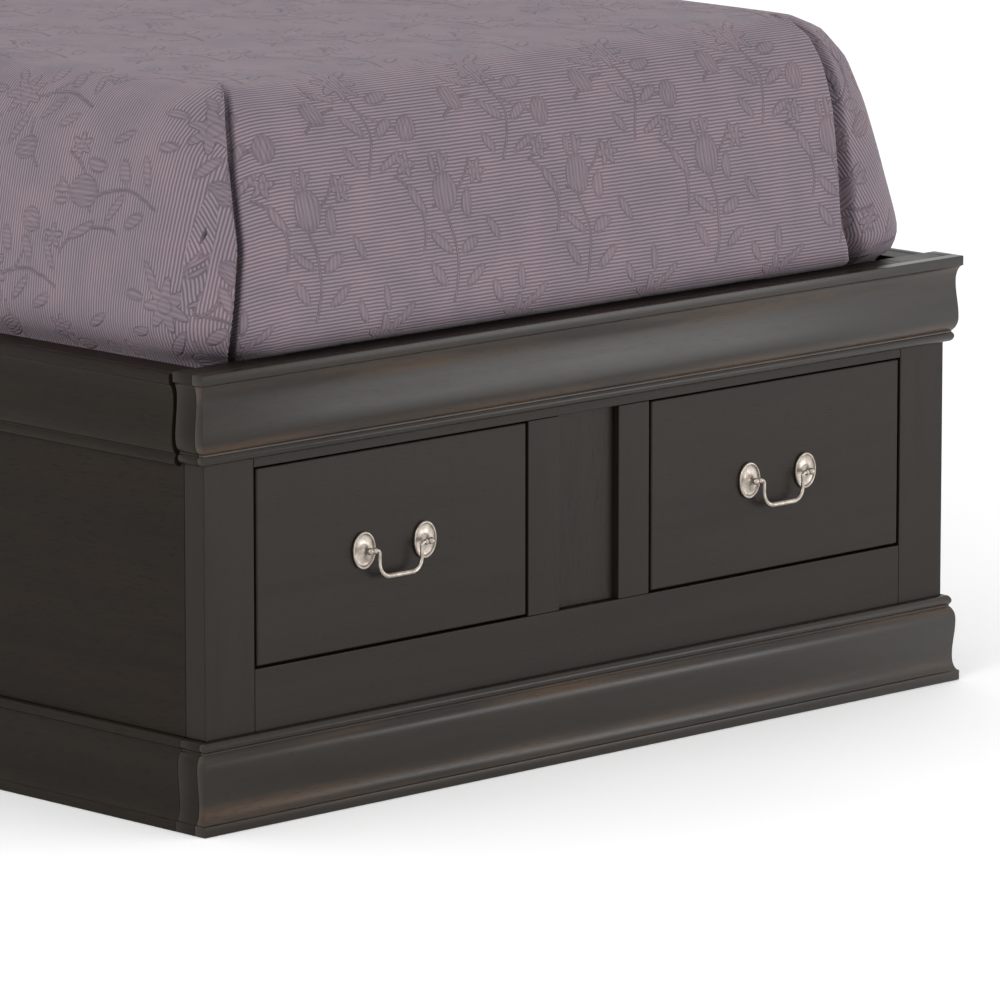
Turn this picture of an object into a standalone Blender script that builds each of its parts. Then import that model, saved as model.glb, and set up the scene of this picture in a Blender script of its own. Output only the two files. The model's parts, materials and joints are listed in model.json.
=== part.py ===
"""Twin platform bed with two storage drawers in its foot end, a mattress and a coverlet.

Row frame: metres, +Z up, X across the bed, -Y towards the foot end, +Y towards the headboard.
The origin is on the floor, in the middle of the whole bed.

Every board keeps a 0.3 mm gap to the board it touches. Each drawer hangs below an empty on its
slide, and each bail hangs below an empty on the line through its two ball posts.
"""

import math

import bmesh
import bpy
from mathutils import Vector

for old in list(bpy.data.objects):
    bpy.data.objects.remove(old, do_unlink=True)

GAP = 0.0003

# the whole bed
LENGTH = 2.030
FRAME_WIDE = 1.081
MOULD_OUT = 0.015
FOOT_HIGH = 0.468
HALF_WIDE = FRAME_WIDE / 2
FOOT_FACE = -LENGTH / 2 + MOULD_OUT
BACK = LENGTH / 2

# foot frame
FOOT_THICK = 0.0285
FOOT_BACK = FOOT_FACE + FOOT_THICK
POST_WIDE = 0.0675
OPENING_WIDE = 0.3845
OPENING_LOW = 0.158
OPENING_HIGH = 0.364
STILE_WIDE = 0.045
OPENING_OUTER = HALF_WIDE - POST_WIDE
OPENING_INNER = OPENING_OUTER - OPENING_WIDE
PANEL_HALF = OPENING_INNER - STILE_WIDE
PANEL_RECESS = 0.0077
PANEL_THICK = 0.014

# mouldings: measured from the square edge that is flush with the top or the floor
FILLET_HIGH = 0.0105
COVE_END = 0.027
COVE_OUT = 0.0093
BELLY_END = 0.067
BELLY_OUT = 0.0118
SHOULDER_LONG = 0.0156
SHOULDER_CENTRE_OUT = 0.0038
BEAD_CENTRE = 0.088
BEAD_CENTRE_OUT = 0.0026
BEAD_RADIUS = 0.006
BEAD_START = math.radians(30)
PROFILE_STEPS = 5

# side rails
RAIL_THICK = 0.030
RAIL_HIGH = 0.4645
CORNICE_JOINT = 0.0055
LEDGER_WIDE = 0.025
LEDGER_LOW = 0.370
LEDGER_TOP = 0.400

# headboard
HEAD_THICK = 0.060
HEAD_FACE = BACK - HEAD_THICK
HEAD_POST_WIDE = 0.060
HEAD_OUTER = HALF_WIDE + MOULD_OUT
HEAD_POST_TOP = 1.020
HEAD_CREST_TOP = 1.150
HEAD_RAIL_LOW = 0.280
HEAD_RAIL_TOP = 0.460
HEAD_RAIL_SETBACK = 0.006
HEAD_PANEL_SETBACK = 0.018
HEAD_PANEL_THICK = 0.018

# drawer cases, behind the foot frame
BOARD = 0.018
CASE_DEEP = 0.440
CASE_LOW = 0.120
CASE_TOP = 0.3655
CASE_BACK = FOOT_BACK + GAP + CASE_DEEP + GAP

# drawers
FRONT_THICK = 0.019
FRONT_SIDE_PLAY = 0.0035
FRONT_TOP_PLAY = 0.0015
FRONT_LOW_PLAY = 0.0027
BOX_BOARD = 0.012
BOX_BOTTOM_THICK = 0.006
BOX_BOTTOM_LIFT = 0.010
BOX_LOW = 0.176
BOX_TOP = 0.336
BOX_DEEP = 0.420
RUNNER_THICK = 0.0058
RUNNER_LONG = 0.400
RUNNER_Z = 0.250
CASE_RUNNER_HIGH = 0.045
BOX_RUNNER_HIGH = 0.030

# pulls
PULL_Z = 0.260
POST_SPREAD = 0.0855
PLATE_HIGH = 0.039
PLATE_WIDE = 0.031
NECK_RADIUS = 0.0027
BALL_RADIUS = 0.0038
BALL_OUT = 0.0107
TURN_STEPS = 24
BAIL_ARM = 0.0295
BAIL_DROP = 0.0285
BAIL_BEND = 0.0038
BAIL_CORNER = 0.014
BAIL_WIRE = 0.0018
BAIL_GRIP = 0.0028
BAIL_BOSS = 0.0033

# bed base
BEAM_WIDE = 0.060
BEAM_LOW = 0.366
LEG_WIDE = 0.045
LEG_Y = 0.200
SLAT_COUNT = 14
SLAT_WIDE = 0.070
SLAT_THICK = 0.018
SLAT_LONG = 1.016
TAPE_X = 0.300
TAPE_WIDE = 0.030
TAPE_THICK = 0.0022
DECK_LOW = LEDGER_TOP + GAP
DECK_TOP = DECK_LOW + SLAT_THICK

# mattress and coverlet
MATTRESS_WIDE = 0.991
MATTRESS_LONG = 1.905
MATTRESS_TOP = 0.724
MATTRESS_FOOT = FOOT_BACK + 0.0115
MATTRESS_CORNER = 0.110
COVER_THICK = 0.004
COVER_HEM = 0.436
COVER_SIDE = 0.5245
COVER_HEAD = 0.974
SIDE_TUCK = 0.0175
FOOT_TUCK = 0.0325
COVER_CORNER = 0.085
COVER_DROP = [(0.4725, 0.011), (0.484, 0.004), (0.500, 0.0), (0.520, 0.002), (0.580, 0.012)]
COVER_DROP += [(0.645, 0.026), (0.685, 0.040), (0.715, 0.064), (0.730, 0.095), (0.7335, 0.130)]
HEAD_CLEAR = 0.0045


def finish(name, colour, roughness, metallic=0.0):
    """One Principled material."""
    made = bpy.data.materials.new(name)
    made.use_nodes = True
    shader = made.node_tree.nodes["Principled BSDF"]
    shader.inputs["Base Color"].default_value = (*colour, 1.0)
    shader.inputs["Roughness"].default_value = roughness
    shader.inputs["Metallic"].default_value = metallic
    return made


CASE_WOOD = finish("espresso_lacquered_wood", (0.030, 0.024, 0.022), 0.35)
BOX_WOOD = finish("drawer_box_birch", (0.55, 0.40, 0.24), 0.5)
BASE_WOOD = finish("base_pine", (0.58, 0.42, 0.26), 0.6)
NICKEL = finish("antique_nickel", (0.42, 0.38, 0.34), 0.3, 1.0)
ZINC = finish("zinc_plated_steel", (0.6, 0.6, 0.62), 0.35, 1.0)
TICKING = finish("mattress_ticking", (0.80, 0.78, 0.74), 0.85)
MATELASSE = finish("mauve_matelasse", (0.36, 0.30, 0.32), 0.9)


def world_of(thing):
    """Where an unturned object stands in the world, through its parents."""
    if thing is None:
        return Vector((0, 0, 0))
    return thing.location + world_of(thing.parent)


def place(thing, point, parent):
    """Put an object at a world point, below its parent empty."""
    thing.parent = parent
    thing.location = Vector(point) - world_of(parent)
    bpy.context.collection.objects.link(thing)
    return thing


def guide(name, point, parent=None):
    """An empty on a joint's axis, which carries the pieces that move."""
    return place(bpy.data.objects.new(name, None), point, parent)


def publish(name, bm, look, point=(0, 0, 0), parent=None, smooth=False):
    """Turn a bmesh into one named object with one material."""
    bmesh.ops.recalc_face_normals(bm, faces=bm.faces)
    mesh = bpy.data.meshes.new(name)
    bm.to_mesh(mesh)
    bm.free()
    mesh.materials.append(look)
    if smooth:
        mesh.shade_smooth()
        mesh.set_sharp_from_angle(angle=math.radians(40))
    return place(bpy.data.objects.new(name, mesh), point, parent)


def board(name, x, y, z, look=CASE_WOOD, parent=None):
    """A straight board between two corners, with its origin at its middle."""
    bm = bmesh.new()
    bmesh.ops.create_cube(bm, size=1.0)
    bmesh.ops.scale(bm, vec=(x[1] - x[0], y[1] - y[0], z[1] - z[0]), verts=bm.verts)
    centre = [(low + high) / 2 for low, high in (x, y, z)]
    return publish(name, bm, look, centre, parent)


def across(side, inner, outer):
    """An X range on one side of the bed: side is -1 for left and 1 for right."""
    return tuple(sorted((side * inner, side * outer)))


def quarter(start, end, steps=PROFILE_STEPS):
    """Angles from start to end, without the first one."""
    return [start + (end - start) * step / steps for step in range(1, steps + 1)]


def moulding_profile():
    """Pairs of distance from the square edge and projection from the board's face.

    A square fillet, a cove under it, a long swelling belly with a rounded shoulder, and a bead.
    """
    points = [(0.0, MOULD_OUT), (FILLET_HIGH, MOULD_OUT)]
    for angle in quarter(0, math.pi / 2):
        along = COVE_END - (COVE_END - FILLET_HIGH) * math.cos(angle)
        points.append((along, MOULD_OUT - (MOULD_OUT - COVE_OUT) * math.sin(angle)))
    for angle in quarter(0, math.pi):
        along = COVE_END + (BELLY_END - COVE_END) * angle / math.pi
        swell = (1 - math.cos(angle)) / 2
        points.append((along, COVE_OUT + (BELLY_OUT - COVE_OUT) * swell))
    for angle in quarter(0, math.radians(72)):
        along = BELLY_END + SHOULDER_LONG * math.sin(angle)
        rise = (BELLY_OUT - SHOULDER_CENTRE_OUT) * math.cos(angle)
        points.append((along, SHOULDER_CENTRE_OUT + rise))
    for angle in quarter(BEAD_START, math.pi, steps=7):
        along = BEAD_CENTRE - BEAD_RADIUS * math.cos(angle)
        points.append((along, BEAD_CENTRE_OUT + BEAD_RADIUS * math.sin(angle)))
    return points


def extrude_up(bm, face, keep=False):
    """Extrude one face and return the new one; the old one stays only as the solid's first end."""
    grown = bmesh.ops.extrude_face_region(bm, geom=[face])
    if not keep:
        bmesh.ops.delete(bm, geom=[face], context="FACES_ONLY")
    return [piece for piece in grown["geom"] if isinstance(piece, bmesh.types.BMFace)][0]


def stacked(name, courses, look=CASE_WOOD):
    """A solid whose plan is a rectangle at every height: a list of (x, y, z) courses."""
    bm = bmesh.new()
    bmesh.ops.create_grid(bm, x_segments=1, y_segments=1, size=1.0)
    top = next(iter(bm.faces))
    middle = Vector((0, 0, 0))
    for number, (x, y, z) in enumerate(courses):
        if number:
            top = extrude_up(bm, top, keep=number == 1)
        for vert in top.verts:
            right = vert.co.x > middle.x
            rear = vert.co.y > middle.y
            vert.co = (x[right], y[rear], z)
        middle = top.calc_center_median()
    return publish(name, bm, look)


def cornice_courses(plan, top):
    """Courses of a moulding that hangs down from its square edge at the top."""
    return [(*plan(out), top - along) for along, out in moulding_profile()]


def base_courses(plan):
    """Courses of a moulding that stands on its square edge on the floor."""
    return [(*plan(out), along) for along, out in moulding_profile()]


def front_plan(out):
    """Plan of the foot's front moulding, which is profiled on its two ends as well."""
    return ((-HALF_WIDE - out, HALF_WIDE + out), (FOOT_FACE - out, FOOT_FACE - GAP))


def side_plan(side, start, end):
    """Plan of a moulding on the bed's side, between two places along the bed."""
    def plan(out):
        return (across(side, HALF_WIDE + GAP, HALF_WIDE + out), (start, end))
    return plan


def foot_frame():
    """Corner posts, rails and stiles round the two drawer openings, and the centre panel."""
    depth = (FOOT_FACE, FOOT_BACK)
    between = (GAP - OPENING_OUTER, OPENING_OUTER - GAP)
    for side, word in SIDES:
        board(f"foot_post_{word}", across(side, OPENING_OUTER, HALF_WIDE), depth, (0, FOOT_HIGH))
        stile = across(side, PANEL_HALF, OPENING_INNER)
        board(f"foot_stile_{word}", stile, depth, (OPENING_LOW + GAP, OPENING_HIGH - GAP))
    board("foot_top_rail", between, depth, (OPENING_HIGH, FOOT_HIGH))
    board("foot_bottom_rail", between, depth, (0, OPENING_LOW))
    panel_front = FOOT_FACE + PANEL_RECESS
    board(
        "foot_centre_panel",
        (GAP - PANEL_HALF, PANEL_HALF - GAP),
        (panel_front, panel_front + PANEL_THICK),
        (OPENING_LOW + GAP, OPENING_HIGH - GAP),
    )


def foot_mouldings():
    """The cornice and the base moulding on the front, with their short returns on the sides."""
    stacked("foot_cornice", cornice_courses(front_plan, FOOT_HIGH))
    stacked("foot_base_moulding", base_courses(front_plan))
    for side, word in SIDES:
        plan = side_plan(side, FOOT_FACE, FOOT_BACK)
        stacked(f"foot_cornice_return_{word}", cornice_courses(plan, FOOT_HIGH))
        stacked(f"foot_base_return_{word}", base_courses(plan))


def side_rails():
    """A plain panel on each side, with its two mouldings and the ledger that carries the slats."""
    start = FOOT_BACK + GAP
    end = HEAD_FACE - GAP
    for side, word in SIDES:
        panel = across(side, HALF_WIDE - RAIL_THICK, HALF_WIDE)
        board(f"side_rail_{word}", panel, (start, end), (0, RAIL_HIGH))
        cornice = side_plan(side, FOOT_BACK + CORNICE_JOINT, end)
        stacked(f"side_cornice_{word}", cornice_courses(cornice, RAIL_HIGH))
        stacked(f"side_base_moulding_{word}", base_courses(side_plan(side, start, end)))
        inner = HALF_WIDE - RAIL_THICK - GAP
        ledger = across(side, inner - LEDGER_WIDE, inner)
        board(f"slat_ledger_{word}", ledger, (start, end), (LEDGER_LOW, LEDGER_TOP), BASE_WOOD)


def headboard():
    """Two posts, a lower rail, a set-back panel and a crest with the foot's moulding."""
    inner = HEAD_OUTER - HEAD_POST_WIDE
    for side, word in SIDES:
        post = across(side, inner, HEAD_OUTER)
        board(f"headboard_post_{word}", post, (HEAD_FACE, BACK), (0, HEAD_POST_TOP))
    between = (GAP - inner, inner - GAP)
    rail_face = HEAD_FACE + HEAD_RAIL_SETBACK
    board("headboard_lower_rail", between, (rail_face, BACK - BOARD), (HEAD_RAIL_LOW, HEAD_RAIL_TOP))
    panel_face = HEAD_FACE + HEAD_PANEL_SETBACK
    board(
        "headboard_panel",
        between,
        (panel_face, panel_face + HEAD_PANEL_THICK),
        (HEAD_RAIL_TOP + GAP, HEAD_POST_TOP - GAP),
    )

    def crest_plan(out):
        return ((-HEAD_OUTER, HEAD_OUTER), (HEAD_FACE - out, BACK))

    crest = cornice_courses(crest_plan, HEAD_CREST_TOP)
    crest.append((*crest_plan(0.0), HEAD_POST_TOP + GAP))
    stacked("headboard_crest", crest)


def drawer_cases():
    """Upright boards that carry the runners, and the board across their back ends."""
    start = FOOT_BACK + GAP
    for side, word in SIDES:
        outer = across(side, OPENING_OUTER + GAP, OPENING_OUTER + GAP + BOARD)
        inner = across(side, OPENING_INNER - GAP - BOARD, OPENING_INNER - GAP)
        for place_word, x in (("outer", outer), ("inner", inner)):
            name = f"case_side_{word}_{place_word}"
            board(name, x, (start, start + CASE_DEEP), (CASE_LOW, CASE_TOP), BASE_WOOD)
    reach = OPENING_OUTER + GAP + BOARD
    board("case_back", (-reach, reach), (CASE_BACK, CASE_BACK + BOARD), (0, CASE_TOP), BASE_WOOD)


def runners(side, word, slide):
    """On each side of a drawer, the runner half on the case and the half on the drawer box."""
    start = FOOT_BACK + 2 * GAP
    y = (start, start + RUNNER_LONG)
    for place_word, wall, inward in (("outer", OPENING_OUTER, -1), ("inner", OPENING_INNER, 1)):
        fixed = across(side, wall, wall + inward * RUNNER_THICK)
        nearer = wall + inward * (RUNNER_THICK + GAP)
        moving = across(side, nearer, nearer + inward * RUNNER_THICK)
        half = CASE_RUNNER_HIGH / 2
        board(f"case_runner_{word}_{place_word}", fixed, y, (RUNNER_Z - half, RUNNER_Z + half), ZINC)
        half = BOX_RUNNER_HIGH / 2
        name = f"drawer_runner_{word}_{place_word}"
        board(name, moving, y, (RUNNER_Z - half, RUNNER_Z + half), ZINC, slide)


def drawer(side, word, slide):
    """A flush drawer front with a four-board box behind it."""
    front_x = across(side, OPENING_INNER + FRONT_SIDE_PLAY, OPENING_OUTER - FRONT_SIDE_PLAY)
    front_z = (OPENING_LOW + FRONT_LOW_PLAY, OPENING_HIGH - FRONT_TOP_PLAY)
    front_y = (FOOT_FACE, FOOT_FACE + FRONT_THICK)
    board(f"drawer_front_{word}", front_x, front_y, front_z, CASE_WOOD, slide)
    outer = OPENING_OUTER - 2 * (RUNNER_THICK + GAP)
    inner = OPENING_INNER + 2 * (RUNNER_THICK + GAP)
    start = FOOT_FACE + FRONT_THICK + GAP
    end = start + BOX_DEEP
    z = (BOX_LOW, BOX_TOP)
    outer_x = across(side, outer - BOX_BOARD, outer)
    inner_x = across(side, inner, inner + BOX_BOARD)
    board(f"drawer_side_{word}_outer", outer_x, (start, end), z, BOX_WOOD, slide)
    board(f"drawer_side_{word}_inner", inner_x, (start, end), z, BOX_WOOD, slide)
    between = across(side, inner + BOX_BOARD + GAP, outer - BOX_BOARD - GAP)
    board(f"drawer_back_{word}", between, (end - BOX_BOARD, end), z, BOX_WOOD, slide)
    lift = BOX_LOW + BOX_BOTTOM_LIFT
    bottom_y = (start, end - BOX_BOARD - GAP)
    bottom_z = (lift, lift + BOX_BOTTOM_THICK)
    board(f"drawer_bottom_{word}", between, bottom_y, bottom_z, BOX_WOOD, slide)


def post_profile():
    """Radius and distance out from the drawer's face of the turned post and its plate."""
    rim = PLATE_HIGH / 2
    points = [(0.0, 0.0), (rim - 0.0006, 0.0), (rim, 0.0012), (rim - 0.0008, 0.0027)]
    points += [(rim - 0.0024, 0.0032), (rim - 0.0042, 0.0026), (rim - 0.0075, 0.0016)]
    points += [(0.0062, 0.0017), (0.0046, 0.0028), (NECK_RADIUS, 0.0042)]
    neck_angle = math.asin(NECK_RADIUS / BALL_RADIUS)
    for angle in [neck_angle, *quarter(neck_angle, math.pi, steps=6)]:
        radius = BALL_RADIUS * math.sin(angle)
        points.append((radius, BALL_OUT - BALL_RADIUS * math.cos(angle)))
    return points


def pull_post(name, point, slide):
    """An oval plate with a raised rim and a dished middle, a neck and a ball, as one casting."""
    bm = bmesh.new()
    chain = [bm.verts.new((radius, -out, 0.0)) for radius, out in post_profile()]
    for one, other in zip(chain, chain[1:]):
        bm.edges.new((one, other))
    bmesh.ops.spin(
        bm,
        geom=bm.verts[:] + bm.edges[:],
        axis=(0, 1, 0),
        cent=(0, 0, 0),
        angle=2 * math.pi,
        steps=TURN_STEPS,
        use_merge=True,
        use_duplicate=False,
    )
    bmesh.ops.remove_doubles(bm, verts=bm.verts, dist=0.00001)
    for vert in bm.verts:
        if math.hypot(vert.co.x, vert.co.z) > 2 * BALL_RADIUS:
            vert.co.x *= PLATE_WIDE / PLATE_HIGH
    publish(name, bm, NICKEL, point, slide, smooth=True)


def bail_route():
    """Points and wire radii of half a bail, from its end in the ball post to the grip's middle."""
    end = POST_SPREAD / 2 - BALL_RADIUS - GAP
    boss = end - 0.0032
    bend = BAIL_ARM + BAIL_BEND
    route = [(end, 0.0, 0.0019), (boss + 0.0016, 0.0, 0.0029), (boss, 0.0, BAIL_BOSS)]
    route += [(boss - 0.0018, 0.0, 0.0026), (bend, 0.0, BAIL_WIRE)]
    for angle in quarter(0, math.pi / 2, steps=3):
        route.append((
            bend - BAIL_BEND * math.sin(angle),
            -BAIL_BEND * (1 - math.cos(angle)),
            BAIL_WIRE,
        ))
    straight = BAIL_DROP - BAIL_CORNER
    for step, angle in enumerate([0, *quarter(0, math.pi / 2, steps=5)]):
        route.append((
            BAIL_ARM - BAIL_CORNER * (1 - math.cos(angle)),
            -straight - BAIL_CORNER * math.sin(angle),
            BAIL_WIRE + (BAIL_GRIP - BAIL_WIRE) * step / 6,
        ))
    route.append((0.0, -BAIL_DROP, BAIL_GRIP))
    return route


def bail(name, pivot):
    """A drop handle bent from one wire, with a small boss at each end and a thicker grip."""
    half = bail_route()
    whole = half + [(-x, z, radius) for x, z, radius in reversed(half[:-1])]
    curve = bpy.data.curves.new(name, "CURVE")
    curve.dimensions = "3D"
    curve.bevel_depth = 1.0
    curve.bevel_resolution = 2
    curve.use_fill_caps = True
    spline = curve.splines.new("POLY")
    spline.points.add(len(whole) - 1)
    for point, (x, z, radius) in zip(spline.points, whole):
        point.co = (x, 0.0, z, 1.0)
        point.radius = radius
    curve.materials.append(NICKEL)
    place(bpy.data.objects.new(name, curve), world_of(pivot), pivot)


def moving_drawers():
    """Each drawer with its runners and its pull, hung below an empty on its slide."""
    middle = (OPENING_INNER + OPENING_OUTER) / 2
    for side, word in SIDES:
        slide = guide(f"drawer_{word}_slide", (side * middle, FOOT_FACE, PULL_Z))
        drawer(side, word, slide)
        runners(side, word, slide)
        for hand, hand_word in SIDES:
            x = side * middle + hand * POST_SPREAD / 2
            name = f"pull_post_{word}_{hand_word}"
            pull_post(name, (x, FOOT_FACE - GAP, PULL_Z), slide)
        line = (side * middle, FOOT_FACE - GAP - BALL_OUT, PULL_Z)
        bail(f"bail_handle_{word}", guide(f"bail_{word}_pivot", line, slide))


def slat_deck():
    """Slats held at even spaces by two tapes under them, as one roll."""
    bm = bmesh.new()
    start = FOOT_BACK + 0.020 + SLAT_WIDE / 2
    end = HEAD_FACE - 0.020 - SLAT_WIDE / 2
    for number in range(SLAT_COUNT):
        y = start + (end - start) * number / (SLAT_COUNT - 1)
        made = bmesh.ops.create_cube(bm, size=1.0)["verts"]
        bmesh.ops.scale(bm, vec=(SLAT_LONG, SLAT_WIDE, SLAT_THICK), verts=made)
        bmesh.ops.translate(bm, vec=(0, y, DECK_LOW + SLAT_THICK / 2), verts=made)
    deck = publish("slat_deck", bm, BASE_WOOD)
    for side, word in SIDES:
        x = across(side, TAPE_X - TAPE_WIDE / 2, TAPE_X + TAPE_WIDE / 2)
        y = (start - SLAT_WIDE / 3, end + SLAT_WIDE / 3)
        z = (DECK_LOW - TAPE_THICK, DECK_LOW + TAPE_THICK / 4)
        tape = board(f"slat_tape_{word}", x, y, z, BASE_WOOD)
        tape.hide_render = True
        tape.display_type = "WIRE"
        join = deck.modifiers.new(f"tape_{word}", "BOOLEAN")
        join.operation = "UNION"
        join.object = tape


def bed_base():
    """The beam under the slats and its leg."""
    half = BEAM_WIDE / 2
    top = LEDGER_TOP - GAP
    rail_face = HEAD_FACE + HEAD_RAIL_SETBACK
    board("centre_beam", (-half, half), (FOOT_BACK + GAP, rail_face - GAP), (BEAM_LOW, top), BASE_WOOD)
    half = LEG_WIDE / 2
    leg_y = (LEG_Y - half, LEG_Y + half)
    board("beam_leg", (-half, half), leg_y, (0, BEAM_LOW - GAP), BASE_WOOD)


def soft_stack(name, courses, corner, look, closed=True):
    """One rectangle with round corners, resized at each height and stacked; it may be open below."""
    bm = bmesh.new()
    bmesh.ops.create_grid(bm, x_segments=1, y_segments=1, size=1.0)
    old_x, old_y, height = courses[0]
    for vert in bm.verts:
        vert.co = (old_x[vert.co.x > 0], old_y[vert.co.y > 0], height)
    bmesh.ops.bevel(
        bm,
        geom=bm.verts[:],
        offset=corner,
        segments=4,
        profile=0.5,
        affect="VERTICES",
        material=-1,
    )
    top = next(iter(bm.faces))
    for number, (new_x, new_y, height) in enumerate(courses[1:]):
        top = extrude_up(bm, top, keep=number == 0 and closed)
        wide = (new_x[1] - new_x[0]) / (old_x[1] - old_x[0])
        long = (new_y[1] - new_y[0]) / (old_y[1] - old_y[0])
        for vert in top.verts:
            x = new_x[0] + (vert.co.x - old_x[0]) * wide
            y = new_y[0] + (vert.co.y - old_y[0]) * long
            vert.co = (x, y, height)
        old_x, old_y = new_x, new_y
    return publish(name, bm, look)


def mattress_courses():
    """The mattress has a short underside curve, straight sides and a soft, rounded top."""
    half = MATTRESS_WIDE / 2
    foot, head = MATTRESS_FOOT, MATTRESS_FOOT + MATTRESS_LONG
    low = DECK_TOP + GAP
    rings = [(low, 0.012), (low + 0.018, 0.0), (MATTRESS_TOP - 0.130, 0.0)]
    rings += [(MATTRESS_TOP - 0.087, 0.012), (MATTRESS_TOP - 0.043, 0.027)]
    rings += [(MATTRESS_TOP - 0.017, 0.050), (MATTRESS_TOP - 0.0065, 0.085), (MATTRESS_TOP, 0.200)]
    return [((inset - half, half - inset), (foot + inset, head - inset), z) for z, inset in rings]


def cover_courses():
    """The coverlet's outer surface from its hem up, inset from the planes of its belly."""
    rail_clear = FOOT_HIGH + 0.0025
    rings = [(COVER_HEM, SIDE_TUCK, FOOT_TUCK), (rail_clear - 0.0065, SIDE_TUCK, FOOT_TUCK)]
    rings += [(rail_clear, SIDE_TUCK - 0.003, FOOT_TUCK - 0.0035)]
    for height, inset in COVER_DROP:
        rings.append((height, inset, inset))
    courses = []
    for height, side_in, foot_in in rings:
        half = COVER_SIDE - side_in
        head = min(COVER_HEAD - side_in, HEAD_FACE - HEAD_CLEAR)
        courses.append(((-half, half), (FOOT_FACE + foot_in, head), height))
    return courses


def soft_goods():
    """The mattress on the slats, and the coverlet over it, tucked down inside the rails."""
    soft_stack("mattress", mattress_courses(), MATTRESS_CORNER, TICKING)
    coverlet = soft_stack("coverlet", cover_courses(), COVER_CORNER, MATELASSE, closed=False)
    wall = coverlet.modifiers.new("cloth", "SOLIDIFY")
    wall.thickness = COVER_THICK
    wall.offset = -1.0


SIDES = ((-1, "left"), (1, "right"))

foot_frame()
foot_mouldings()
side_rails()
headboard()
drawer_cases()
moving_drawers()
bed_base()
slat_deck()
soft_goods()
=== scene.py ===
# %% [markdown]
# # A storage bed in dark lacquered wood, under a woven coverlet
#
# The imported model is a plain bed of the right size. Here each plain part gets the shape and the
# finish of the real one: eased boards, run mouldings, cast pulls, and a soft coverlet with pleats.

import json
import math

import bmesh
import bpy
import numpy as np
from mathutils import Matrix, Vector, noise

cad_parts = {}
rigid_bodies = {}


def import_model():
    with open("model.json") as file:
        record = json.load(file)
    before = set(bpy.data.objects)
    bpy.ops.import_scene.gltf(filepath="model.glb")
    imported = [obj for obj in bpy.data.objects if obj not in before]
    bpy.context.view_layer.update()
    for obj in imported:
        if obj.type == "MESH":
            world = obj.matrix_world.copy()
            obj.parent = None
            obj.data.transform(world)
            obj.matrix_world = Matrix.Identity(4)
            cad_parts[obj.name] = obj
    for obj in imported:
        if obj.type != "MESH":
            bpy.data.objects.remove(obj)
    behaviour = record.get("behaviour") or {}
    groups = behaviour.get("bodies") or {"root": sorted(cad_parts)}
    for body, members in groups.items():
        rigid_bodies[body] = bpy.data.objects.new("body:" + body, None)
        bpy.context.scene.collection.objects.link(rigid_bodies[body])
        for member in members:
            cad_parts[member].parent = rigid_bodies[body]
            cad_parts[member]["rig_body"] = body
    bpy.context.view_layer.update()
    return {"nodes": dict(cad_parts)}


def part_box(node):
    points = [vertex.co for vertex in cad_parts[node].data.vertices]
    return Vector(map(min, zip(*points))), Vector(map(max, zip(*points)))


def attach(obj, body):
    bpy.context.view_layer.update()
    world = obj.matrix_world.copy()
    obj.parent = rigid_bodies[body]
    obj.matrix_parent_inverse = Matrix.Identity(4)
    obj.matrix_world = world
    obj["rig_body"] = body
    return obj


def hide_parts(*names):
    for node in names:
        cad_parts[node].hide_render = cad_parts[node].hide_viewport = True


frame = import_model()
MM = 0.001
SIDES = ((-1, "left"), (1, "right"))
print("frame loaded:", len(frame["nodes"]), "nodes")

# %% [markdown]
# ## Small tools
#
# Colours are written as the hex codes of a paint chart, and one function turns them to the linear
# values that shaders use. One more adds a node with its settings and links, so that a material
# reads as a list of steps.

# %% Colour and node helpers
def linear(code):
    """A hex sRGB colour as linear red, green, blue and alpha."""
    parts = [int(code[at:at + 2], 16) / 255 for at in (0, 2, 4)]
    curve = [p / 12.92 if p <= 0.04045 else ((p + 0.055) / 1.055) ** 2.4 for p in parts]
    return (*curve, 1.0)


def add(tree, kind, inputs=(), output=0, stops=(), **settings):
    """Add one node and return one of its outputs.

    Inputs are fed in their order on the node, or by name. Each is a value, a hex colour or another
    node's output. Stops are a colour ramp's positions and colours.
    """
    node = tree.nodes.new("ShaderNode" + kind)
    for name, value in settings.items():
        setattr(node, name, value)
    live = [socket for socket in node.inputs if socket.enabled]
    named = {socket.name: socket for socket in live}
    for place, value in inputs.items() if isinstance(inputs, dict) else enumerate(inputs):
        socket = named[place] if isinstance(place, str) else live[place]
        if isinstance(value, bpy.types.NodeSocket):
            tree.links.new(value, socket)
        else:
            socket.default_value = linear(value) if isinstance(value, str) else value
    for number, (position, code) in enumerate(stops):
        colours = node.color_ramp.elements
        stop = colours[number] if number < 2 else colours.new(position)
        stop.position = position
        stop.color = linear(code)
    if isinstance(output, str):
        return node.outputs[output]
    return [socket for socket in node.outputs if socket.enabled][output]


def blank(name, constants):
    """A new material, its node tree and its shader, with some of the shader's own values set."""
    material = bpy.data.materials.new(name)
    material.use_nodes = True
    shader = material.node_tree.nodes["Principled BSDF"]
    for socket, value in constants.items():
        shader.inputs[socket].default_value = value
    return material, material.node_tree, shader


def dress(tree, shader, colour=None, roughness=None, height=None, depth=1.0):
    """Feed a shader with a colour, a roughness and a relief whose height is in units of depth."""
    if colour:
        tree.links.new(colour, shader.inputs["Base Color"])
    if roughness:
        tree.links.new(roughness, shader.inputs["Roughness"])
    if height:
        relief = add(tree, "Bump", {"Height": height, "Distance": depth, "Strength": 1.0})
        tree.links.new(relief, shader.inputs["Normal"])


# %% [markdown]
# ## Dark lacquered wood
#
# The frame is open-pored hardwood, stained almost black under a satin lacquer. The mouldings are
# polished, the side rails are flatter, and the foot's two long mouldings are also rubbed through to
# brown in the cove and beside the bead. The eye sees short pores along the grain, slow changes of
# tone, and soft highlights. Grain runs along each board, so there is a material for each direction.

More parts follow.
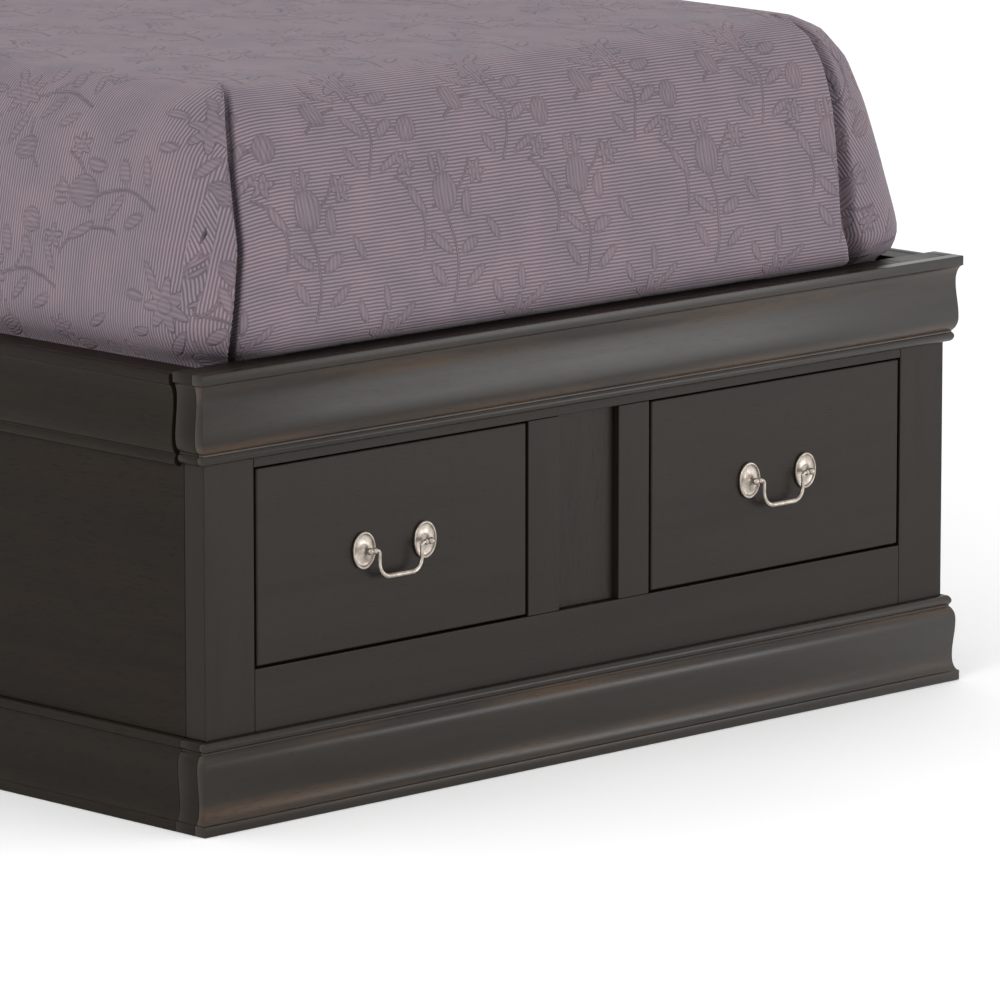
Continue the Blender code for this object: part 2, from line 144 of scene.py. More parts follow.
# %% Wood patterns
GRAIN_X, GRAIN_Y, GRAIN_Z = 0, 1, 2
PORE = (0.8 * MM, 16 * MM)     # width and length: real pores are 0.2 mm wide, too fine to show
FIGURE = (22 * MM, 300 * MM)   # the growth rings as they run along a board


def grain(tree, axis, cell, detail):
    """Noise drawn out along the grain, with cells of a width and a length."""
    place = add(tree, "TexCoord", output="Object")
    scale = [1 / cell[0]] * 3
    scale[axis] = 1 / cell[1]
    stretched = add(tree, "Mapping", {"Vector": place, "Scale": scale})
    return add(tree, "TexNoise", [stretched, 1.0, detail])


def sawn_wood(name, axis, dark, light, pore, gloss, constants, rubbed=None, dent=0.06 * MM):
    """Wood with pores. Axis is the grain's direction, and rubbed places bands of bare brown."""
    material, tree, shader = blank(name, constants)
    figure = grain(tree, axis, FIGURE, 4.0)
    colour = add(tree, "ValToRGB", [figure], stops=[(0.34, dark), (0.66, light)])
    if rubbed:
        colour = add(tree, "Mix", [rubbed(tree, figure), colour, RUBBED_BROWN], data_type="RGBA")
    pores = add(tree, "MapRange", [grain(tree, axis, PORE, 2.0), 0.56, 0.72])
    colour = add(tree, "Mix", [pores, colour, pore], data_type="RGBA")
    sheen = add(tree, "MapRange", [figure, 0.3, 0.7, gloss - 0.03, gloss + 0.05])
    dents = add(tree, "Math", [0.0, pores], operation="SUBTRACT")
    dress(tree, shader, colour, sheen, dents, dent)
    return material


# %% The lacquer: satin, polished, flatted and rubbed
RUBBED_BROWN = "412e1c"
LACQUER = {
    "dark": "1b150f",
    "light": "211a13",
    "pore": "0e0b08",
    "gloss": 0.38,
    "constants": {"Specular IOR Level": 0.19},
}
POLISHED = {
    **LACQUER,
    "gloss": 0.30,
    "constants": {"Specular IOR Level": 0.34},
    "dent": 0.02 * MM,
}
FLATTED = {**LACQUER, "constants": {"Specular IOR Level": 0.09}}
COVE_WEAR = (20 * MM, 4 * MM, 13 * MM)   # middle, full and fading half widths of a rubbed band
BEAD_WEAR = (78 * MM, 2 * MM, 8 * MM)


def rubbed_bands(edge, rise):
    """Bands of bare brown in a moulding's cove and beside its bead.

    Edge is the height of its square edge, and rise is 1 where the moulding goes up from there.
    """
    def mask(tree, figure):
        height = add(tree, "SeparateXYZ", [add(tree, "TexCoord", output="Object")], output="Z")
        along = add(tree, "Math", [height, edge], operation="SUBTRACT")
        along = add(tree, "Math", [along, rise], operation="MULTIPLY")
        bands = []
        for middle, full, fading in (COVE_WEAR, BEAD_WEAR):
            off = add(tree, "Math", [along, middle], operation="SUBTRACT")
            off = add(tree, "Math", [off], operation="ABSOLUTE")
            bands.append(add(tree, "MapRange", [off, full, fading, 1.0, 0.0]))
        either = add(tree, "Math", bands, operation="MAXIMUM")
        patchy = add(tree, "MapRange", [figure, 0.38, 0.62, 0.0, 0.85])
        return add(tree, "Math", [either, patchy], operation="MULTIPLY")
    return mask


BARE = {"Specular IOR Level": 0.4}


def along_each_axis(name, dark, light, pore, gloss, constants):
    """One wood in three materials, for grain along X, Y and Z."""
    return [
        sawn_wood(f"{name}, grain {'XYZ'[axis]}", axis, dark, light, pore, gloss, constants)
        for axis in (GRAIN_X, GRAIN_Y, GRAIN_Z)
    ]


lacquered = along_each_axis("espresso lacquered hardwood", **LACQUER)
flatted = along_each_axis("flatted espresso lacquer", **FLATTED)
birch = along_each_axis("sanded birch", "b58e60", "c9a578", "93693f", 0.50, BARE)
pine = along_each_axis("planed pine", "bd9660", "d3b383", "9a7143", 0.60, BARE)
print("wood finishes:", len(lacquered + flatted + birch + pine))

# %% [markdown]
# ## Metals
#
# The pulls are die-cast zinc with an antique nickel plating: warm grey, brushed bright on the high
# places. The runners are rolled steel with a bright zinc plating, cloudy and a little cooler.

# %% Metal finishes
def plated(name, dark, light, gloss, cloud_size):
    """Plated metal: a cloudy tint and gloss, and very shallow marks of casting or rolling."""
    material, tree, shader = blank(name, {"Metallic": 1.0})
    place = add(tree, "TexCoord", output="Object")
    cloud = add(tree, "TexNoise", [place, 1 / cloud_size, 3.0])
    colour = add(tree, "ValToRGB", [cloud], stops=[(0.35, dark), (0.65, light)])
    sheen = add(tree, "MapRange", [cloud, 0.3, 0.7, gloss + 0.10, gloss - 0.04])
    dress(tree, shader, colour, sheen, cloud, 0.01 * MM)
    return material


antique_nickel = plated("antique nickel plated zinc casting", "9a9087", "b9b0a6", 0.33, 7 * MM)
zinc_plate = plated("bright zinc plated rolled steel", "a9adb3", "c6c9cd", 0.34, 9 * MM)
print("metals:", antique_nickel.name, "and", zinc_plate.name)

# %% [markdown]
# ## Boards
#
# A real board has no knife edges: each arris is eased with sandpaper, and the lacquer rounds it a
# little more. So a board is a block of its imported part's size with every edge bevelled. A flat
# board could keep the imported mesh, but it would have no highlight along its edges.

# %% Board helpers
def publish(name, bm, look, node=None, body=None, smooth=None):
    """Make a finished piece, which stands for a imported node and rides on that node's body."""
    bmesh.ops.recalc_face_normals(bm, faces=bm.faces)
    mesh = bpy.data.meshes.new(name)
    bm.to_mesh(mesh)
    bm.free()
    mesh.materials.append(look)
    if smooth is not None:
        mesh.shade_smooth()
        mesh.set_sharp_from_angle(angle=math.radians(smooth))
    piece = bpy.data.objects.new(name, mesh)
    bpy.context.scene.collection.objects.link(piece)
    if node:
        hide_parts(node)
        body = frame["nodes"][node]["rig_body"]
    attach(piece, body)
    return piece


def round_edges(bm, edges, width, segments=3):
    """Bevel some edges of a bmesh to a round."""
    bmesh.ops.bevel(
        bm,
        geom=edges,
        offset=width,
        segments=segments,
        profile=0.5,
        affect="EDGES",
        material=-1,
    )


def eased_board(node, looks, ease):
    """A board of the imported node's size, with eased edges and grain along its longest side."""
    low, high = (Vector(corner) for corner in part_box(node))
    size = high - low
    bm = bmesh.new()
    bmesh.ops.create_cube(bm, size=1.0)
    bmesh.ops.scale(bm, vec=size, verts=bm.verts)
    bmesh.ops.translate(bm, vec=(low + high) / 2, verts=bm.verts)
    round_edges(bm, bm.edges[:], ease)
    longest = max(range(3), key=lambda axis: size[axis])
    return publish(f"{node}_board", bm, looks[longest], node)


# %% Boards of the frame
LACQUERED_EASE = 0.9 * MM
FRONT_EASE = 1.8 * MM
case_boards = ["foot_top_rail", "foot_bottom_rail", "foot_centre_panel"]
case_boards += ["headboard_lower_rail", "headboard_panel"]
for part in ("foot_post", "foot_stile", "side_rail", "headboard_post"):
    case_boards += [f"{part}_left", f"{part}_right"]
for node in case_boards:
    coat = flatted if node.startswith("side_rail") else lacquered
    eased_board(node, coat, LACQUERED_EASE)
for _, word in SIDES:
    eased_board(f"drawer_front_{word}", lacquered, FRONT_EASE)
print("lacquered boards:", len(case_boards) + 2)

# %% Boards inside
PLANED_EASE = 1.2 * MM
base_boards = ["centre_beam", "beam_leg", "case_back"]
for _, word in SIDES:
    base_boards += [f"slat_ledger_{word}", f"case_side_{word}_outer", f"case_side_{word}_inner"]
for node in base_boards:
    eased_board(node, pine, PLANED_EASE)
deck_mesh = frame["nodes"]["slat_deck"].data
deck_mesh.materials.clear()
deck_mesh.materials.append(pine[GRAIN_X])
print("pine boards:", len(base_boards), "and the packed slat deck")

# %% [markdown]
# ## Mouldings
#
# A moulding is cut by a spinning cutter, so one outline runs its whole length. Counted from the
# square edge it has a fillet, a cove, a long swelling belly and a bead. At every height its plan
# is a plain rectangle, so the solid is a rectangle that is extruded upwards and resized at each
# step, and the mitres at the corners come by themselves.

# %% The moulding's outline
post_low, post_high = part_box("foot_post_left")
FOOT_FACE = post_low[1]
HALF_WIDE = -post_low[0]
FILLET_OUT = FOOT_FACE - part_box("foot_cornice")[0][1]
FILLET_HIGH = 10.5 * MM
COVE_END, COVE_OUT = 27 * MM, 9.3 * MM
BELLY_END, BELLY_OUT = 67 * MM, 11.8 * MM
SHOULDER_LONG, SHOULDER_OUT = 15.6 * MM, 3.8 * MM
BEAD_CENTRE, BEAD_OUT, BEAD_RADIUS = 88 * MM, 2.6 * MM, 6 * MM


def steps(start, end, count):
    """Even steps from start to end, without the first."""
    return [start + (end - start) * number / count for number in range(1, count + 1)]


def moulding_outline():
    """Pairs of distance from the square edge and projection from the board's face."""
    points = [(0.0, FILLET_OUT), (FILLET_HIGH, FILLET_OUT)]
    for turn in steps(0, math.pi / 2, 10):
        along = COVE_END - (COVE_END - FILLET_HIGH) * math.cos(turn)
        points.append((along, FILLET_OUT - (FILLET_OUT - COVE_OUT) * math.sin(turn)))
    for turn in steps(0, math.pi, 14):
        along = COVE_END + (BELLY_END - COVE_END) * turn / math.pi
        points.append((along, COVE_OUT + (BELLY_OUT - COVE_OUT) * (1 - math.cos(turn)) / 2))
    for turn in steps(0, math.radians(72), 9):
        along = BELLY_END + SHOULDER_LONG * math.sin(turn)
        points.append((along, SHOULDER_OUT + (BELLY_OUT - SHOULDER_OUT) * math.cos(turn)))
    for turn in steps(math.radians(30), math.pi, 14):
        along = BEAD_CENTRE - BEAD_RADIUS * math.cos(turn)
        points.append((along, BEAD_OUT + BEAD_RADIUS * math.sin(turn)))
    return points


outline = moulding_outline()
print("outline points:", len(outline))

# %% Run a moulding
ARRIS = 0.5 * MM
SMOOTH_BELOW = 24
SEAM = 0.3 * MM


def extrude_up(bm, face, keep):
    """Extrude one face; the old one stays only where it is the solid's first end."""
    grown = bmesh.ops.extrude_face_region(bm, geom=[face])
    if not keep:
        bmesh.ops.delete(bm, geom=[face], context="FACES_ONLY")
    return next(piece for piece in grown["geom"] if isinstance(piece, bmesh.types.BMFace))


def run_moulding(node, plan, edge, rise, look, more=()):
    """Stack the outline's rectangles from the square edge, and ease the sharp edges."""
    courses = [(*plan(out), edge + rise * along) for along, out in outline]
    bm = bmesh.new()
    bmesh.ops.create_grid(bm, x_segments=1, y_segments=1, size=1.0)
    face = next(iter(bm.faces))
    for number, (x, y, z) in enumerate([*courses, *more]):
        if number:
            face = extrude_up(bm, face, keep=number == 1)
        middle = face.calc_center_median()
        for vert in face.verts:
            vert.co = (x[vert.co.x > middle.x], y[vert.co.y > middle.y], z)
    arrises = [e for e in bm.edges if e.is_manifold and e.calc_face_angle() > math.radians(60)]
    round_edges(bm, arrises, ARRIS, segments=2)
    return publish(f"{node}_run", bm, look, node, smooth=SMOOTH_BELOW)


def rubbed(edge, rise):
    """The polished lacquer with its rubbed bands, for a moulding with its square edge at a height."""
    name = f"rubbed espresso lacquer, edge {round(edge / MM)} mm up, grain X"
    return sawn_wood(name, GRAIN_X, rubbed=rubbed_bands(edge, rise), **POLISHED)


# %% Mouldings of the foot and the sides
FOOT_HIGH = post_high[2]
RAIL_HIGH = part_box("side_rail_left")[1][2]


def front_plan(out):
    """The foot's front mouldings, with the outline on their ends too."""
    return ((-HALF_WIDE - out, HALF_WIDE + out), (FOOT_FACE - out, FOOT_FACE - SEAM))


def side_plan(side, ends):
    """A moulding along one side of the bed, between two ends."""
    def plan(out):
        return (sorted((side * (HALF_WIDE + SEAM), side * (HALF_WIDE + out))), ends)
    return plan


# The mouldings that don't face the front light are less glossy than the foot's two long ones.
SIDE_SHEEN = {**POLISHED, "constants": {"Specular IOR Level": 0.15}}
polished_along = sawn_wood("polished espresso lacquer, grain Y", GRAIN_Y, **SIDE_SHEEN)
run_moulding("foot_cornice", front_plan, FOOT_HIGH, -1, rubbed(FOOT_HIGH, -1))
run_moulding("foot_base_moulding", front_plan, 0.0, 1, rubbed(0.0, 1))
side_runs = (
    ("foot_cornice_return", FOOT_HIGH, -1),
    ("side_cornice", RAIL_HIGH, -1),
    ("foot_base_return", 0.0, 1),
    ("side_base_moulding", 0.0, 1),
)
for side, word in SIDES:
    for part, edge, rise in side_runs:
        low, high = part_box(f"{part}_{word}")
        plan = side_plan(side, (low[1], high[1]))
        run_moulding(f"{part}_{word}", plan, edge, rise, polished_along)
print("mouldings:", 2 + 2 * len(side_runs))

# %% The headboard's crest
crest_low, crest_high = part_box("headboard_crest")
HEAD_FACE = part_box("headboard_post_left")[0][1]


def crest_plan(out):
    """The crest has the same outline on its front only, and a plain deep rail below it."""
    return ((crest_low[0], crest_high[0]), (HEAD_FACE - out, crest_high[1]))


crest_look = sawn_wood("polished espresso lacquer, grain X", GRAIN_X, **SIDE_SHEEN)
lower_edge = [(*crest_plan(0.0), crest_low[2])]
run_moulding("headboard_crest", crest_plan, crest_high[2], -1, crest_look, lower_edge)
print("crest from", round(crest_low[2], 3), "to", round(crest_high[2], 3), "m")

# %% [markdown]
# ## Drawers
#
# Behind each lacquered front is a birch box on steel runners. The case half of a runner is a
# shallow channel rolled from sheet, so its section is drawn once and extruded along the drawer.

# %% Drawer boxes and runners
SHEET_STEEL = 1.2 * MM
LIP = 4 * MM
BIRCH_EASE = 0.8 * MM


def rolled_channel(node, opens):
    """A steel channel with turned lips; opens is the X direction that it faces."""
    low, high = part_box(node)
    back, face = (low[0], high[0]) if opens > 0 else (high[0], low[0])
    inner_back = back + opens * SHEET_STEEL
    inner_face = face - opens * SHEET_STEEL
    half = [(back, low[2]), (face, low[2]), (face, low[2] + LIP), (inner_face, low[2] + LIP)]
    half += [(inner_face, low[2] + SHEET_STEEL), (inner_back, low[2] + SHEET_STEEL)]
    section = half + [(x, low[2] + high[2] - z) for x, z in reversed(half)]
    bm = bmesh.new()
    end = bm.faces.new([bm.verts.new((x, low[1], z)) for x, z in section])
    grown = bmesh.ops.extrude_face_region(bm, geom=[end])["geom"]
    far = [piece for piece in grown if isinstance(piece, bmesh.types.BMVert)]
    bmesh.ops.translate(bm, vec=(0, high[1] - low[1], 0), verts=far)
    return publish(f"{node}_channel", bm, zinc_plate, node)


for side, word in SIDES:
    for part in ("back", "bottom", "side"):
        for ending in ("_outer", "_inner") if part == "side" else ("",):
            eased_board(f"drawer_{part}_{word}{ending}", birch, BIRCH_EASE)
    for ending, opens in (("outer", -side), ("inner", side)):
        rolled_channel(f"case_runner_{word}_{ending}", opens)
        eased_board(f"drawer_runner_{word}_{ending}", [zinc_plate] * 3, 1.4 * MM)
print("two drawer boxes and eight runner halves")

# %% [markdown]
# ## Pulls
#
# Each pull is two castings and a bent wire. A casting has an oval plate with a raised rim and a
# dished middle, and a neck with a ball that holds the wire's end. It was turned as a pattern
# before it was cast, so its half section is spun round, and the plate is then narrowed to an oval.

# %% The castings
PLATE_HIGH, PLATE_WIDE = 39 * MM, 31 * MM
NECK_RADIUS, BALL_RADIUS, BALL_OUT = 2.7 * MM, 3.8 * MM, 10.7 * MM
TURN_STEPS = 72


def casting_section():
    """Radius and distance out from the drawer's face, from the back of the plate to the ball."""
    rim = PLATE_HIGH / 2
    points = [(0.0, 0.0), (rim - 0.5 * MM, 0.0), (rim - 0.1 * MM, 0.5 * MM), (rim, 1.2 * MM)]
    for turn in steps(0, math.pi, 10):
        points.append((rim - 1.5 * MM + 1.5 * MM * math.cos(turn), 1.6 * MM + 1.6 * MM * math.sin(turn)))
    points += [(rim - 3.6 * MM, 1.15 * MM), (rim - 5.2 * MM, 0.95 * MM), (rim - 8.0 * MM, 1.0 * MM)]
    points += [(7.4 * MM, 1.3 * MM), (5.9 * MM, 1.9 * MM), (4.6 * MM, 2.9 * MM), (3.5 * MM, 3.9 * MM)]
    points += [(NECK_RADIUS, 5.2 * MM)]
    neck_turn = math.asin(NECK_RADIUS / BALL_RADIUS)
    for turn in [neck_turn, *steps(neck_turn, math.pi, 14)]:
        points.append((BALL_RADIUS * math.sin(turn), BALL_OUT - BALL_RADIUS * math.cos(turn)))
    return points


def cast_post(node):
    """Spin the section round the ball's axis, then narrow the plate and leave the ball round."""
    low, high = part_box(node)
    centre = Vector(((low[0] + high[0]) / 2, high[1], (low[2] + high[2]) / 2))
    bm = bmesh.new()
    chain = [bm.verts.new((radius, -out, 0.0)) for radius, out in casting_section()]
    for one, other in zip(chain, chain[1:]):
        bm.edges.new((one, other))
    bmesh.ops.spin(
        bm,
        geom=bm.verts[:] + bm.edges[:],
        axis=(0, 1, 0),
        cent=(0, 0, 0),
        angle=2 * math.pi,
        steps=TURN_STEPS,
        use_merge=True,
        use_duplicate=False,
    )
    bmesh.ops.remove_doubles(bm, verts=bm.verts, dist=0.01 * MM)
    for vert in bm.verts:
        reach = math.hypot(vert.co.x, vert.co.z)
        narrowing = min(1.0, max(0.0, (reach - BALL_RADIUS) / (4 * MM)))
        vert.co.x *= 1 - narrowing * (1 - PLATE_WIDE / PLATE_HIGH)
    bmesh.ops.translate(bm, vec=centre, verts=bm.verts)
    return publish(f"{node}_casting", bm, antique_nickel, node, smooth=40)


for _, word in SIDES:
    for hand in ("left", "right"):
        casting = cast_post(f"pull_post_{word}_{hand}")
print("castings, faces each:", len(casting.data.polygons))

# %% [markdown]
# The bail is one wire, bent to a flat U and thickened where the fingers go, with a collar beside
# each ball. A curve with a radius at each point makes that at once, and it becomes a mesh before
# it is published.

# %% The bails
POST_SPREAD = 85.5 * MM
BAIL_ARM, BAIL_DROP = 29.5 * MM, 28.5 * MM
BEND_RADIUS, CORNER_RADIUS = 4.0 * MM, 14 * MM
WIRE_RADIUS, GRIP_RADIUS, COLLAR_RADIUS = 1.8 * MM, 2.8 * MM, 3.3 * MM


def half_bail():
    """Points and wire radii from the end in the ball to the middle of the grip."""
    end = POST_SPREAD / 2 - BALL_RADIUS - SEAM
    collar = end - 3.2 * MM
    bend = BAIL_ARM + BEND_RADIUS
    route = [(end, 0.0, 1.9 * MM), (end - 0.5 * MM, 0.0, 2.3 * MM), (end - 1.2 * MM, 0.0, 2.4 * MM)]
    for turn in steps(-math.pi / 2, math.pi / 2, 8):
        swell = 2.4 * MM + (COLLAR_RADIUS - 2.4 * MM) * math.cos(turn)
        route.append((collar - 1.3 * MM * math.sin(turn), 0.0, swell))
    route.append((bend + 0.5 * MM, 0.0, 1.1 * WIRE_RADIUS))
    for turn in [0, *steps(0, math.pi / 2, 7)]:
        x = bend - BEND_RADIUS * math.sin(turn)
        route.append((x, -BEND_RADIUS * (1 - math.cos(turn)), WIRE_RADIUS))
    straight = BAIL_DROP - CORNER_RADIUS
    for share in [0, *steps(0, 1, 14)]:
        turn = share * math.pi / 2
        x = BAIL_ARM - CORNER_RADIUS * (1 - math.cos(turn))
        radius = WIRE_RADIUS + (GRIP_RADIUS - WIRE_RADIUS) * share
        route.append((x, -straight - CORNER_RADIUS * math.sin(turn), radius))
    return route + [(0.0, -BAIL_DROP, GRIP_RADIUS)]


def bent_bail(node, middle, hinge_y, hinge_z):
    """Mirror the half route, give it its wire radii, and turn the curve to a mesh."""
    half = half_bail()
    whole = half + [(-x, z, radius) for x, z, radius in reversed(half[:-1])]
    curve = bpy.data.curves.new(f"{node}_wire", "CURVE")
    curve.dimensions = "3D"
    curve.bevel_depth = 1.0
    curve.bevel_resolution = 6
    curve.use_fill_caps = True
    spline = curve.splines.new("POLY")
    spline.points.add(len(whole) - 1)
    for point, (x, z, radius) in zip(spline.points, whole):
        point.co = (middle + x, hinge_y, hinge_z + z, 1.0)
        point.radius = radius
    shaping = bpy.data.objects.new(f"{node}_wire", curve)
    bpy.context.scene.collection.objects.link(shaping)
    bpy.context.view_layer.update()
    evaluated = shaping.evaluated_get(bpy.context.evaluated_depsgraph_get())
    bm = bmesh.new()
    bm.from_mesh(evaluated.to_mesh())
    bpy.data.objects.remove(shaping)
    bmesh.ops.remove_doubles(bm, verts=bm.verts, dist=0.01 * MM)
    return publish(f"{node}_bent", bm, antique_nickel, node, smooth=50)


for _, word in SIDES:
    low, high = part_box(f"pull_post_{word}_left")
    far_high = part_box(f"pull_post_{word}_right")[1]
    middle = (low[0] + far_high[0]) / 2
    wire = bent_bail(f"bail_handle_{word}", middle, high[1] - BALL_OUT, (low[2] + high[2]) / 2)
print("bails, faces each:", len(wire.data.polygons))

# %% [markdown]
# ## Mattress
#
# The mattress is a padded block: a crowned top, sides that bulge a little between two piped edges,
# and full round corners. It is built of level rings, from the underside up to the crown, and each
# ring is joined to the next. The coverlet hides all but its underside, which shows from below
# between the slats.

# %% Mattress
ticking, tree, shader = blank("woven cotton ticking", {"Sheen Weight": 0.15, "Roughness": 0.85})
place = add(tree, "TexCoord", output="Object")
THREAD = 1.6 * MM     # real threads are 0.4 mm apart, too fine to show
weave = add(tree, "TexChecker", [place, "e7e2d8", "d9d3c6", 1 / THREAD])
cloud = add(tree, "TexNoise", [place, 6.0, 3.0])
stained = add(tree, "ValToRGB", [cloud], stops=[(0.3, "ded7c8"), (0.7, "ece8df")])
woven = add(tree, "Mix", [0.5, weave, stained], data_type="RGBA")
threads = add(tree, "TexChecker", [place, "000000", "ffffff", 1 / THREAD], output="Fac")
dress(tree, shader, woven, None, threads, 0.15 * MM)

PIPING = 4 * MM
MATTRESS_CORNER = 0.15
MATTRESS_EDGE = 0.130
mattress_low, mattress_high = (Vector(corner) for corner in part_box("mattress"))


def flowing(points, count, passes):
    """Even steps along rough points, rounded by averaging neighbours. Returns lengths as well."""
    points = np.array(points)
    along = np.r_[0.0, np.cumsum(np.linalg.norm(np.diff(points, axis=0), axis=1))]
    fine = np.linspace(0.0, along[-1], 400)
    curve = np.column_stack([np.interp(fine, along, column) for column in points.T])
    for _ in range(passes):
        curve[1:-1] = (curve[:-2] + 2 * curve[1:-1] + curve[2:]) / 4
    pick = np.linspace(0, 399, count + 1).round().astype(int)
    return curve[pick], fine[pick]


def soft_outline(inset, radius, count):
    """The mattress's plan, drawn in from its sides, as points on a rounded rectangle."""
    half_x = (mattress_high.x - mattress_low.x) / 2 - inset
    half_y = (mattress_high.y - mattress_low.y) / 2 - inset
    middle = (mattress_low + mattress_high) / 2
    ring = []
    for quarter, (sx, sy) in enumerate(((1, 1), (-1, 1), (-1, -1), (1, -1))):
        for number in range(count + 1):
            turn = (quarter + number / count) * math.pi / 2
            x = sx * (half_x - radius) + radius * math.cos(turn)
            y = sy * (half_y - radius) + radius * math.sin(turn)
            ring.append((middle.x + x, middle.y + y))
    return ring


def mattress_courses():
    """Inset and height of each ring, from the underside's edge to the middle of the crown."""
    low, high = mattress_low.z, mattress_high.z
    pipe_low, pipe_high = low + 0.030, high - MATTRESS_EDGE
    courses = [(0.030, low), (0.012, low + 0.006), (0.004, low + 0.018)]
    for pipe in (pipe_low, pipe_high):
        for turn in (-70, -35, 0, 35, 70):
            out = PIPING * math.cos(math.radians(turn)) - PIPING
            courses.append((-out * 0.6, pipe + PIPING * math.sin(math.radians(turn))))
        if pipe == pipe_low:
            for share in steps(0, 1, 7)[:-1]:
                z = pipe_low + PIPING + (pipe_high - pipe_low - 2 * PIPING) * share
                courses.append((0.0055 - 0.0045 * math.sin(share * math.pi), z))
    pillow = [(0.003, pipe_high + PIPING), (0.012, high - 0.087), (0.027, high - 0.043)]
    pillow += [(0.050, high - 0.017), (0.085, high - 0.0065), (0.130, high - 0.003)]
    courses += [tuple(spot) for spot in flowing(pillow, 14, 20)[0]]
    return courses + [(0.20, high - 0.0015), (0.30, high - 0.0005), (0.42, high)]


bm = bmesh.new()
rings = []
for inset, z in mattress_courses():
    corner = max(0.012, MATTRESS_CORNER - 0.5 * inset)
    ring = [bm.verts.new((x, y, z)) for x, y in soft_outline(inset, corner, 8)]
    rings.append([bm.edges.new((one, other)) for one, other in zip(ring, ring[1:] + ring[:1])])
for lower, upper in zip(rings, rings[1:]):
    bmesh.ops.bridge_loops(bm, edges=lower + upper)
for ends in (rings[0], rings[-1]):
    bmesh.ops.contextual_create(bm, geom=ends)
mattress = publish("mattress_padded", bm, ticking, "mattress", smooth=60)
print("mattress, faces:", len(mattress.data.polygons))

# %% [markdown]
# ## Coverlet: the shape
#
# The coverlet is one cloth. It lies on the mattress, hangs down over a soft shoulder, bellies out
# over the rails and is tucked in behind them. At each foot corner the spare cloth is folded into
# one deep pleat. Cloth simulation could drape it, but a made bed has its pleats put in place by
# hand, so each point of the flat cloth is laid along a route: down the drop, and round the corner
# through the fold. Every point keeps its place on the flat cloth, which the weave then follows.

# %% The drop of the cloth
FOOT_BELLY = -1.000
SIDE_BELLY = 0.5245
HEAD_BELLY = 0.974
HEAD_STOP = HEAD_FACE - 4.5 * MM
PLATEAU_IN = 0.130
PLATEAU_X = SIDE_BELLY - PLATEAU_IN
PLATEAU_FOOT = FOOT_BELLY + PLATEAU_IN
PLATEAU_HEAD = HEAD_BELLY - PLATEAU_IN
CLOTH_TOP = 0.7335
CLOTH_THICK = 3 * MM
ROWS = 42

drop_down = [(0.130, 0.7335), (0.095, 0.730), (0.064, 0.715), (0.040, 0.685), (0.026, 0.645)]
drop_down += [(0.012, 0.580), (0.002, 0.520), (0.0, 0.500), (0.004, 0.484), (0.011, 0.4725)]
side_tuck = [(0.0145, 0.4705), (0.0175, 0.464), (0.0175, 0.436)]
foot_tuck = [(0.020, 0.4705), (0.029, 0.4705), (0.0325, 0.464), (0.0325, 0.440)]


side_drop, side_length = flowing(drop_down + side_tuck, ROWS, 30)
foot_drop, foot_length = flowing(drop_down + foot_tuck, ROWS, 30)
fall = (side_length + foot_length) / 2
print("cloth from the plateau's edge to the hem:", round(float(fall[-1]), 3), "m")

# %% [markdown]
# At a corner the flat cloth is a fan of 90 degrees, which is much longer than the way round the
# corner. The spare length goes into a Z: out to the fold's edge, back under it, and out again. In
# plan that is a route with a distance along the corner and a depth below the cloth's surface.

# %% Round a corner through the pleat
REACH = 0.060          # how far the corner patch runs onto each straight side
FOLD_RADIUS = 3.5 * MM
EMERGE = 0.055         # how far round the corner the cloth takes to come back to the surface
FOLD_BEGINS, FOLD_GROWS = 0.010, 0.055   # lengths down the drop, to where the fold is full size


def corner_centre(z):
    """How far the middle of the corner's arc is inside the belly planes at a height."""
    return np.interp(z, [0.50, 0.65], [0.095, 0.130])


def pleat_route(fold_at, turned, spare, whole, scale, gap):
    """The route's points: distance round the corner, and depth (negative is inside).

    Gap is how wide the dark hollow beside the fold is, how wide its far wall, and how far below
    the surface that wall ends.
    """
    outer = FOLD_RADIUS * scale
    inner = turned * scale
    deep = -2 * outer - 2 * inner
    points = [(-REACH - 0.2, 0.0)]
    if fold_at > outer:
        points.append((0.0, 0.0))
    points.append((fold_at - outer, 0.0))
    for turn in steps(0, math.pi, 6):
        points.append((fold_at - outer + outer * math.sin(turn), -outer + outer * math.cos(turn)))
    back = fold_at - outer - spare
    for turn in [0, *steps(0, math.pi, 6)]:
        points.append((back - inner * math.sin(turn), -2 * outer - inner + inner * math.cos(turn)))
    hollow, wall, ledge = gap
    start = fold_at + hollow
    ledge = max(deep, -ledge * scale)
    forward = {start + wall * share for share in [0, *steps(0, 1, 6)]}
    forward |= {start + wall + EMERGE * share for share in steps(0, 1, 8)}
    for distance in sorted(forward | {whole, whole + 0.3}):
        share = min(1.0, max(0.0, (distance - start) / wall))
        easing = min(1.0, max(0.0, (distance - start - wall) / EMERGE))
        depth = deep + (ledge - deep) * share * share * (3 - 2 * share)
        points.append((distance, depth - ledge * easing * easing * (3 - 2 * easing)))
    return np.array(points)


def route_lengths(points):
    """Running length of a route, with zero at the start of the corner's fan."""
    length = np.r_[0.0, np.cumsum(np.linalg.norm(np.diff(points, axis=0), axis=1))]
    return length - 0.2 - REACH


def length_at_end(route, whole):
    """Running length where the route leaves the fan, which is on its last, forward leg."""
    leg = int(np.argmin(route[8:, 0])) + 8
    return float(np.interp(whole, route[leg:, 0], route_lengths(route)[leg:]))


def spare_cloth(fold_at, turned, whole, wanted, scale, gap):
    """How far the cloth goes back under the fold, so that the route has the fan's length."""
    bare = pleat_route(fold_at, turned, 0.0, whole, scale, gap)
    return max(0.0, (wanted - length_at_end(bare, whole)) / 2)


